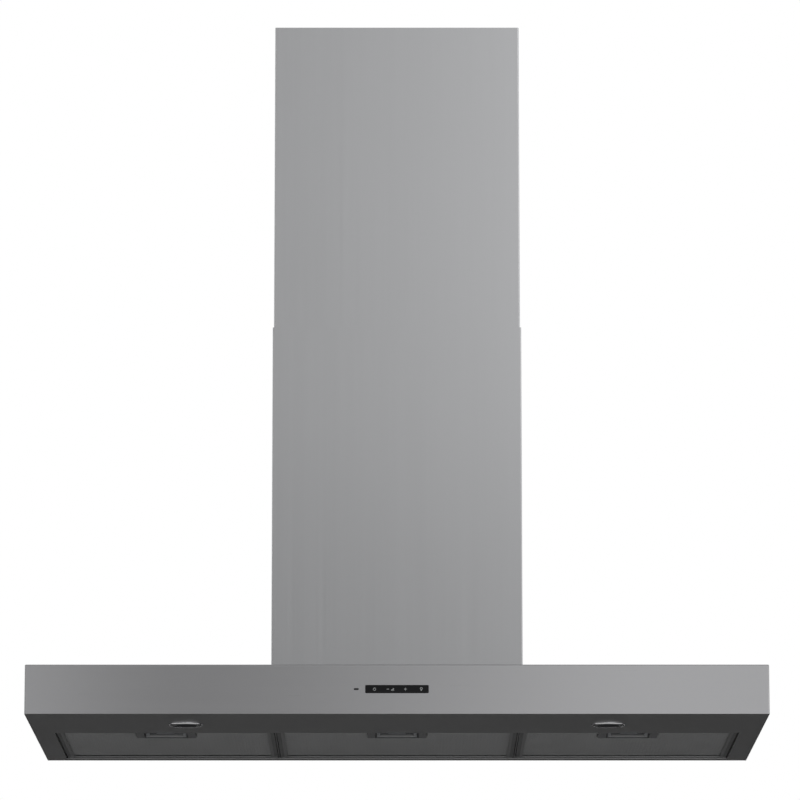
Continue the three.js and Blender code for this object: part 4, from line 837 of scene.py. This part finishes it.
for side in ("left", "right"):
    low, high = span(f"lamp_bezel_{side}")
    lens_low, lens_high = span(f"lamp_lens_{side}")
    centre = ((low.x + high.x) / 2, (low.y + high.y) / 2, 0.0)
    rim, lens = (high.x - low.x) / 2, (lens_high.x - lens_low.x) / 2
    lip, neck, bore = rim - FLANGE_WIDTH, rim - NECK_STEP, lens - LENS_REST
    face, rise, seat = low.z, lens_low.z, lens_low.z - LENS_PLAY
    dome = [
        (lip - DOME_WIDTH * (1 - math.sin(turn)), face + DOME_HEIGHT * (1 - math.cos(turn)))
        for turn in DOME_TURNS]
    ring = turned_shape([
        (bore, seat), (bore, face + 0.1), (bore + 0.1, face), *dome,
        (lip, -FLANGE_HEIGHT), (rim, -FLANGE_HEIGHT), (rim, -0.3), (neck, -0.3), (neck, high.z),
        (lens + LENS_PLAY, high.z), (lens + LENS_PLAY, seat), (bore, seat)], centre)
    weigh_normals(make_piece(
        f"lamp_ring_{side}", ring, polished_trim, "root", [f"lamp_bezel_{side}"]))
    outer = bore - SLEEVE_GAP
    inner = outer - SLEEVE_WALL
    sleeve = turned_shape([
        (outer, face + 0.4), (outer, rise - 0.1), (inner, rise - 0.1), (inner, face + 0.8),
        (outer, face + 0.4)], centre)
    make_piece(f"lamp_sleeve_{side}", sleeve, black_plastic, "root")
    bulge = [(radius, rise + height) for radius, height in (*BULGE, (lens, 0.6))]
    glass = turned_shape([*bulge, (lens, lens_high.z), (0.0, lens_high.z)], centre)
    make_piece(f"lamp_glass_{side}", glass, lamp_glass, "root", [f"lamp_lens_{side}"])

# %% [markdown]
# ## The grease filters
#
# A grease filter is a folded aluminium channel round a pack of expanded mesh. Expanded mesh is
# a sheet that is slit and pulled open, so every opening is a diamond and the strands between
# them are twisted a little. One diamond has eight faces: it is drawn once, repeated along a
# row, and the row is repeated over the filter. A second layer with larger diamonds lies behind
# it, the densest layers in the middle are one plain slab, and a last open layer closes the pack
# from above.

# %% Expanded mesh
def diamond(length, width, strand, twist):
    """One opening of expanded mesh; its four strands all lean the same way."""
    across, along = length / 2, width / 2
    reach = strand / 2 * math.hypot(1 / across, 1 / along)
    inner = {
        "right": (across * (1 - reach), 0, 0), "top": (0, along * (1 - reach), twist),
        "left": (-across * (1 - reach), 0, 0), "bottom": (0, -along * (1 - reach), -twist)}
    bm = bmesh.new()
    vert = {name: bm.verts.new(Vector(at) * MM) for name, at in inner.items()}
    for sx in (-1, 1):
        for sy in (-1, 1):
            side = Vector((sx * across, sy * reach * along, -sy * twist))
            end = Vector((sx * reach * across, sy * along, 0))
            vert["side", sx, sy] = bm.verts.new(side * MM)
            vert["end", sx, sy] = bm.verts.new(end * MM)
    for sx, flank in ((-1, "left"), (1, "right")):
        for sy, tip in ((-1, "bottom"), (1, "top")):
            bm.faces.new((vert[flank], vert[tip], vert["end", sx, sy], vert["side", sx, sy]))
        bm.faces.new((vert[flank], vert["side", sx, -1], vert["side", sx, 1]))
    for sy, tip in ((-1, "bottom"), (1, "top")):
        bm.faces.new((vert[tip], vert["end", -1, sy], vert["end", 1, sy]))
    bmesh.ops.recalc_face_normals(bm, faces=bm.faces)
    return bm


def repeat(bm, count, step):
    """Repeats all of a bmesh along a step and welds the copies."""
    original = bm.verts[:] + bm.edges[:] + bm.faces[:]
    for number in range(1, count):
        copy = bmesh.ops.duplicate(bm, geom=original)["geom"]
        move(bm, copy, Vector(step) * number)
    bmesh.ops.remove_doubles(bm, verts=bm.verts, dist=1e-5)


def mesh_layer(low, high, level, cup, opening, twist, looks_up=False):
    """A sheet of whole (length, width, strand) openings, with the latch's place left free."""
    length, width, strand = opening
    columns = round((high.x - low.x) / length)
    rows = round((high.y - low.y) / width)
    length, width = (high.x - low.x) / columns, (high.y - low.y) / rows
    bm = diamond(length, width, strand, twist)
    move(bm, bm.verts, (low.x + length / 2, low.y + width / 2, level))
    repeat(bm, columns, (length, 0, 0))
    repeat(bm, rows, (0, width, 0))
    cup_low, cup_high = cup
    hidden = []
    for face in bm.faces:
        middle = face.calc_center_median() / MM
        if cup_low.x < middle.x < cup_high.x and middle.y < cup_high.y:
            hidden.append(face)
    bmesh.ops.delete(bm, geom=hidden, context="FACES")
    for face in bm.faces:
        if (face.normal.z > 0) != looks_up:
            face.normal_flip()
    return bm


# %% [markdown]
# The channel is hemmed along its outer border. The outer strip at its two ends has its grain
# the other way, is rougher, and has a darker grey, which is painted shade beside the dividers. Its
# folds have a radius of 0.9 mm, and the sheet has to be thinner than that: a thicker one
# crosses itself inside the fold, and then the Boolean modifier leaves nothing of it.

# %% Parts of a filter's frame
BORDER, HEM = 9.0, 5.0
CHANNEL_FOLD, CHANNEL_SHEET, CHANNEL_CORNER = 0.9, 0.8, 2.5
TONGUE_REACH, TONGUE_LENGTH, TONGUE_SHEET = 10.5, 13, 1.2
TONGUE_INSET, TONGUE_CORNER = 12, 4
RIVET_SECTION = [(0, -0.55), (0.9, -0.5), (1.6, -0.28), (1.9, 0.0), (1.9, 0.4), (0, 0.4)]
RIVET_EDGE, RIVET_REAR, RIVET_SINK = 4.5, 15, 0.05


def channel(low, high):
    """The folded rim of a filter: a hemmed ring whose inner side is open to hold the mesh."""
    bm = block(low, (high.x, high.y - TONGUE_REACH, high.z))
    lids = [face for face in bm.faces if abs(face.normal.z) > 0.5]
    for width in (HEM, BORDER - HEM):
        bmesh.ops.inset_individual(bm, faces=lids, thickness=width * MM, use_even_offset=True)
    bmesh.ops.delete(bm, geom=lids, context="FACES_ONLY")
    roll(bm, edges_along(bm, "z"), CHANNEL_CORNER, 4)
    rims = [e for e in bm.edges if {abs(f.normal.z) > 0.5 for f in e.link_faces} == {True, False}]
    roll(bm, rims, CHANNEL_FOLD, 3)
    return bm


def tongue(left, right, low, high):
    """The flat tongue along the rear that hooks over the lip."""
    bm = block((left, high.y - TONGUE_LENGTH, low.z), (right, high.y, low.z + TONGUE_SHEET))
    roll(bm, edges_on(bm, x=left, y=high.y) + edges_on(bm, x=right, y=high.y), TONGUE_CORNER, 4)
    return bm


def rivets(middle, reach, low, high):
    """The low domed heads of the four corner rivets."""
    return [
        turned_shape(RIVET_SECTION, (middle + way * reach, y, low.z + RIVET_SINK), steps=16)
        for way in (-1, 1) for y in (low.y + RIVET_EDGE, high.y - RIVET_REAR)]


# %% One filter
BOLT_WAY = 11.6
FINE_OPENING, COARSE_OPENING = (8.4, 3.6, 0.9), (12.6, 5.2, 1.4)
FINE_TWIST, COARSE_TWIST = 0.14, 0.2
FINE_LEVEL, COARSE_LEVEL, INNER_LEVEL = 0.6, 1.6, 0.4
CORE_FLOOR, CORE_ROOF = 2.4, 1.6
STRAND_SHEET, CUP_GAP = 0.25, 0.6


def make_channel(side, body):
    """A filter's channel, with its tongue and its rivets."""
    low, high = span(f"filter_frame_{side}")
    middle, half = (low.x + high.x) / 2, (high.x - low.x) / 2
    rim = make_piece(
        f"filter_channel_{side}", channel(low, high), frame_aluminium, body,
        [f"filter_frame_{side}"])
    thicken(rim, CHANNEL_SHEET)
    punch(rim, block(
        (middle - BOLT_WAY, low.y - 1, low.z - 1), (middle + BOLT_WAY, low.y + 10, low.z + 3)))
    weigh_normals(rim)
    # The outer strip at the channel's two ends takes the darker finish, which is painted shade.
    rim.data.materials.append(channel_ends_painted_shade)
    for face in rim.data.polygons:
        if half - abs(face.center.x / MM - middle) < HEM:
            face.material_index = 1
    hook = tongue(middle - half + TONGUE_INSET, middle + half - TONGUE_INSET, low, high)
    fittings = together(hook, *rivets(middle, half - RIVET_EDGE, low, high))
    make_piece(f"filter_fittings_{side}", fittings, frame_aluminium, body)


def make_mesh(side, body):
    """A filter's open layers of mesh and the plain slab between them."""
    low, high = span(f"filter_mesh_{side}")
    cup_low, cup_high = span(f"latch_housing_{side}")
    cup = (cup_low - Vector((CUP_GAP, 0, 0)), cup_high + Vector((CUP_GAP, CUP_GAP, 0)))
    front = mesh_layer(low, high, low.z + FINE_LEVEL, cup, FINE_OPENING, FINE_TWIST)
    behind = mesh_layer(low, high, low.z + COARSE_LEVEL, cup, COARSE_OPENING, -COARSE_TWIST)
    thicken(make_piece(
        f"expanded_mesh_{side}", together(front, behind), mesh_aluminium, body,
        [f"filter_mesh_{side}"]), STRAND_SHEET)
    inside = mesh_layer(
        low, high, high.z - INNER_LEVEL, cup, COARSE_OPENING, COARSE_TWIST, looks_up=True)
    thicken(make_piece(
        f"inner_mesh_{side}", inside, mesh_aluminium, body), STRAND_SHEET)
    slab = block((low.x, low.y, low.z + CORE_FLOOR), (high.x, high.y, high.z - CORE_ROOF))
    core = make_piece(f"mesh_core_{side}", slab, mesh_aluminium, body)
    punch(core, block((cup[0].x, low.y - 10, 0), (cup[1].x, cup[1].y, 20)))


# %% The three filters
for side in SIDES:
    make_channel(side, f"filter_{side}")
    make_mesh(side, f"filter_{side}")

# %% [markdown]
# ## The latches
#
# A finger pulls the bar back and the bolt at the front leaves the strip. The housing is a
# moulded cup with soft corners: a rounded block from which a smaller rounded block is cut. The
# grip is a plate with three ribs, a bolt with a slanted nose, and a finger bar on two arms. The
# cup's outside is dark. Its inner walls, the arms, the bolt and the stem are grey, and the plate
# and the bar are lighter: these greys are painted light, which lifts the shaded hollow, so the
# bar is the line that shows in each cup.

# %% A latch's cup
CUP_WALL, CUP_SHOULDER = 1.2, 10
CUP_CORNER, CUP_LIP = 3.0, 0.5
HOLLOW_CORNER, HOLLOW_ROOT = 2.5, 1.0
GRIP_WAY, INNER_HALF = 3.0, 25.2


def make_cup(side):
    """The open cup of a latch; its inner walls take a lighter grey, which is painted light in the
    shaded hollow.
    """
    low, high = span(f"latch_housing_{side}")
    middle = (low.x + high.x) / 2
    front, rear, roof = low.y + CUP_WALL, high.y - CUP_WALL, high.z - CUP_WALL
    cup = block(low, high)
    roll(cup, edges_along(cup, "z"), CUP_CORNER, 5)
    roll(cup, edges_on(cup, z=low.z), CUP_LIP, 3)
    housing = make_piece(
        f"latch_cup_{side}", cup, latch_plastic, f"filter_{side}",
        [f"latch_housing_{side}"])
    hollow = block((low.x + CUP_SHOULDER, front, low.z - 1), (high.x - CUP_SHOULDER, rear, roof))
    roll(hollow, edges_along(hollow, "z"), HOLLOW_CORNER, 5)
    roll(hollow, edges_on(hollow, z=roof), HOLLOW_ROOT, 3)
    punch(housing, hollow)
    punch(housing, block(
        (low.x + CUP_WALL, front, high.z - GRIP_WAY), (high.x - CUP_WALL, rear, roof)))
    punch(housing, block(
        (middle - BOLT_WAY, low.y - 1, low.z - 1), (middle + BOLT_WAY, low.y + 2, low.z + 3)))
    weigh_normals(housing)
    # The faces inside the hollow take the grey plastic: painted light, which lifts the shaded hollow.
    housing.data.materials.append(grey_plastic)
    for face in housing.data.polygons:
        if abs(face.center.x / MM - middle) < INNER_HALF and face.center.z / MM > low.z + 1.0:
            face.material_index = 1


# %% A latch's grip
ARM_WIDTH, ARM_PLACE = 4, 22.7
BAR_HALF, BAR_DEPTH, BAR_EDGE = 24.7, 3, 0.6
BAR_DROP, BAR_RISE = 0.6, 2.6
PLATE_FRONT, PLATE_REAR, PLATE_SHEET = 30, 9, 1.2
PLATE_CORNER, PLATE_EDGE = 2.0, 0.3
RIB_HALF, RIB_WIDTH, RIB_PITCH = 21, 1.2, 3.6
RIB_START, RIB_DROP, RIB_SINK, RIB_EDGE = 7, 1.9, 1.0, 0.35
BOLT_HALF, BOLT_HEIGHT, BOLT_TAIL, NOSE = 11, 2.4, 3, 1.4


def finger_arm(x, front, rear, foot, top):
    """One arm of the finger bar: a strip that slopes from the plate down to the bar."""
    bm = bmesh.new()
    outline = [
        (front - 1.2, top), (front - 1.2, top - 1.8), (rear - BAR_DEPTH, foot), (rear, foot),
        (rear, foot + 2), (front, top)]
    side = bm.faces.new([bm.verts.new((0.0, y * MM, z * MM)) for y, z in outline])
    grown = bmesh.ops.extrude_face_region(bm, geom=[side])["geom"]
    move(bm, grown, (ARM_WIDTH, 0, 0))
    bmesh.ops.recalc_face_normals(bm, faces=bm.faces)
    move(bm, bm.verts, (x - ARM_WIDTH / 2, 0, 0))
    return bm


def make_grip(side):
    """The sliding part of a latch: plate, ribs, finger bar on its arms, bolt and stem."""
    low, high = span(f"latch_slider_{side}")
    middle = (low.x + high.x) / 2
    front, rear, under = high.y - PLATE_FRONT, high.y - PLATE_REAR, high.z - PLATE_SHEET
    plate = block((low.x, front, under), (high.x, rear, high.z))
    roll(plate, edges_along(plate, "z"), PLATE_CORNER, 4)
    roll(plate, edges_on(plate, z=under), PLATE_EDGE, 2)
    bar = block(
        (middle - BAR_HALF, high.y - BAR_DEPTH, low.z - BAR_DROP),
        (middle + BAR_HALF, high.y, low.z + BAR_RISE))
    roll(bar, edges_along(bar, "x"), BAR_EDGE, 3)
    arms = [
        finger_arm(middle + way * ARM_PLACE, rear, high.y, low.z - 0.4, high.z - 0.6)
        for way in (-1, 1)]
    ribs = []
    for number in range(3):
        y = front + RIB_START + RIB_PITCH * number
        rib = block(
            (middle - RIB_HALF, y, high.z - RIB_DROP),
            (middle + RIB_HALF, y + RIB_WIDTH, high.z - RIB_SINK))
        roll(rib, edges_on(rib, z=high.z - RIB_DROP), RIB_EDGE, 2)
        ribs.append(rib)
    left, right = middle - BOLT_HALF, middle + BOLT_HALF
    bolt = block((left, low.y, low.z), (right, front + BOLT_TAIL, low.z + BOLT_HEIGHT))
    roll(bolt, edges_on(bolt, y=low.y, z=low.z), NOSE, 1)
    stem = block((left, front + 0.4, low.z + 1.2), (right, front + BOLT_TAIL, high.z - 0.6))
    # The arms, the bolt and the stem take the grey plastic: painted light inside the shaded cup.
    for grey_part in (*arms, bolt, stem):
        for face in grey_part.faces:
            face.material_index = 1
    slider = make_piece(
        f"latch_grip_{side}", together(plate, bar, *arms, *ribs, bolt, stem), latch_grip,
        f"latch_{side}", [f"latch_slider_{side}"])
    slider.data.materials.append(grey_plastic)


# %% The three latches
for side in SIDES:
    make_cup(side)
    make_grip(side)

# %% [markdown]
# ## The studio
#
# Steel has no colour of its own to speak of: what we see is the room. A plain white room would
# make it flat and pale, so the studio has a grey reflector wall in front of the hood, darker at
# the left and lighter at the right, and a dark cloth that hangs behind and below it. Both are
# seen by reflections only. Two large soft lamps light what isn't metal. The background is white
# for the camera, and for glass and metal that look past the reflectors.

# %% The background
ROOM_LIGHT, SEEN_LIGHT = 0.45, 1.0

scene = bpy.context.scene
world = bpy.data.worlds.new("studio")
scene.world = world
world.use_nodes = True
tree = world.node_tree
tree.nodes.clear()
mix = tree.nodes.new("ShaderNodeMixShader")
for number, strength in ((1, ROOM_LIGHT), (2, SEEN_LIGHT)):
    white = tree.nodes.new("ShaderNodeBackground")
    white.inputs["Color"].default_value = (1.0, 1.0, 1.0, 1.0)
    white.inputs["Strength"].default_value = strength
    tree.links.new(white.outputs[0], mix.inputs[number])
ray = tree.nodes.new("ShaderNodeLightPath")
direct = maths(tree, "MAXIMUM", ray.outputs["Is Camera Ray"], ray.outputs["Is Glossy Ray"])
direct = maths(tree, "MAXIMUM", direct, ray.outputs["Is Transmission Ray"])
tree.links.new(direct, mix.inputs[0])
output = tree.nodes.new("ShaderNodeOutputWorld")
tree.links.new(mix.outputs[0], output.inputs["Surface"])
print("background seen:", SEEN_LIGHT, "and lighting:", ROOM_LIGHT)

# %% The floor
def stage_card(name, width, height, centre, turn, material):
    """A flat card of the studio, which isn't part of the hood."""
    bm = bmesh.new()
    bmesh.ops.create_grid(bm, x_segments=1, y_segments=1, size=0.5)
    bmesh.ops.scale(bm, vec=(width, height, 1.0), verts=bm.verts)
    mesh = bpy.data.meshes.new(name)
    bm.to_mesh(mesh)
    bm.free()
    mesh.materials.append(material)
    card = bpy.data.objects.new(name, mesh)
    card.location = centre
    card.rotation_euler = turn
    scene.collection.objects.link(card)
    return card


FLOOR_SIZE, FLOOR_Z = 60.0, -1.6
LYING = (0.0, 0.0, 0.0)
STANDING = (math.radians(90.0), 0.0, 0.0)

floor_paint, tree, shader, place = start_finish("pale_floor", (0.82, 0.82, 0.82), 0.6)
speckle = use(tree, smudged, place, Size=3.0, Amount=0.04)
shade(tree, shader, speckle["Shade"])
# Seen from beneath, the floor lets the view through to the hood's underside.
below = tree.nodes.new("ShaderNodeMixShader")
clear = tree.nodes.new("ShaderNodeBsdfTransparent")
tree.links.new(tree.nodes.new("ShaderNodeNewGeometry").outputs["Backfacing"], below.inputs[0])
tree.links.new(shader.outputs[0], below.inputs[1])
tree.links.new(clear.outputs[0], below.inputs[2])
tree.links.new(below.outputs[0], tree.nodes["Material Output"].inputs["Surface"])
floor = stage_card("floor", FLOOR_SIZE, FLOOR_SIZE, (0.0, 0.0, FLOOR_Z), LYING, floor_paint)
print("floor at", floor.location.z)

# %% Helpers for cards that glow
def ramp(tree, position, stops):
    """A Colour Ramp whose stops are (position, grey value)."""
    node = tree.nodes.new("ShaderNodeValToRGB")
    node.color_ramp.interpolation = "LINEAR"
    elements = node.color_ramp.elements
    elements.remove(elements[1])
    elements[0].position = stops[0][0]
    for number, (place, value) in enumerate(stops):
        stop = elements.new(place) if number else elements[0]
        stop.color = (value, value, value, 1.0)
    tree.links.new(position, node.inputs[0])
    return node.outputs["Color"]


def glow(name, level, across, up):
    """Light of a level, times two ramps of (size, stops); a stop is (metres from middle, value)."""
    material = bpy.data.materials.new(name)
    material.use_nodes = True
    tree = material.node_tree
    tree.nodes.clear()
    parts = tree.nodes.new("ShaderNodeSeparateXYZ")
    tree.links.new(tree.nodes.new("ShaderNodeTexCoord").outputs["Object"], parts.inputs[0])
    strength = level
    for socket, (size, stops) in (("X", across), ("Y", up)):
        spread = maths(tree, "ADD", maths(tree, "DIVIDE", parts.outputs[socket], size), 0.5)
        shares = [(place / size + 0.5, value) for place, value in stops]
        strength = times(tree, ramp(tree, spread, shares), strength)
    light = tree.nodes.new("ShaderNodeEmission")
    tree.links.new(strength, light.inputs["Strength"])
    out = tree.nodes.new("ShaderNodeOutputMaterial")
    tree.links.new(light.outputs[0], out.inputs["Surface"])
    return material


# %% The reflector wall and the dark cloth
WALL_SIZE = (6.4, 3.2)
WALL_MIDDLE = (0.0, -2.2, 1.0)
WALL_LEVEL = 1.4
ACROSS_WALL = [
    (-3.2, 0.2), (-1.0, 0.3), (-0.72, 0.8), (-0.56, 0.76), (-0.42, 0.3), (-0.36, 0.28), (-0.3, 0.3),
    (-0.24, 0.385), (-0.18, 0.44), (-0.08, 0.53), (0.0, 0.58), (0.06, 0.62), (0.13, 0.67),
    (0.19, 0.73), (0.25, 0.83), (0.31, 0.91), (0.38, 0.91), (0.46, 0.89), (0.54, 0.8), (1.2, 0.9),
    (3.2, 0.9)]
UP_WALL = [
    (-1.6, 0.78), (-0.78, 0.78), (-0.68, 0.33), (-0.63, 0.34), (-0.56, 0.52), (-0.5, 0.65),
    (-0.39, 0.755), (-0.22, 0.82), (-0.05, 0.84), (0.13, 0.84), (0.33, 0.81), (1.6, 0.79)]
CLOTH_SIZE = (5.0, 1.6)
CLOTH_MIDDLE = (0.0, 0.7, -0.84)
ACROSS_CLOTH = [(-2.5, 0.037), (-0.45, 0.039), (0.0, 0.042), (0.45, 0.036), (2.5, 0.034)]
UP_CLOTH = [(-0.8, 1.0), (0.8, 1.0)]

wall_glow = glow(
    "reflector_glow", WALL_LEVEL, (WALL_SIZE[0], ACROSS_WALL), (WALL_SIZE[1], UP_WALL))
cloth_glow = glow("cloth_glow", 1.0, (CLOTH_SIZE[0], ACROSS_CLOTH), (CLOTH_SIZE[1], UP_CLOTH))
reflector = stage_card("reflector_wall", *WALL_SIZE, WALL_MIDDLE, STANDING, wall_glow)
cloth = stage_card("dark_cloth", *CLOTH_SIZE, CLOTH_MIDDLE, STANDING, cloth_glow)
for card in (reflector, cloth):
    card.visible_camera = False
    card.visible_diffuse = False
    card.visible_shadow = False
print("cards:", reflector.name, cloth.name)

# %% The soft lamps
SOFTBOX_SIZE = 1.6
HOOD_MIDDLE = Vector((0.0, -0.2, 0.3))


def softbox(name, power, at):
    """A square area lamp that looks at the middle of the hood."""
    lamp = bpy.data.lights.new(name, "AREA")
    lamp.energy = power
    lamp.size = SOFTBOX_SIZE
    holder = bpy.data.objects.new(name, lamp)
    holder.location = at
    holder.rotation_euler = (HOOD_MIDDLE - Vector(at)).to_track_quat("-Z", "Y").to_euler()
    holder.visible_camera = False
    scene.collection.objects.link(holder)


softbox("softbox_right", 30.0, (2.4, -3.2, 2.0))
softbox("softbox_left", 24.0, (-2.6, -3.0, 1.6))
print("lamps:", len(bpy.data.lights))
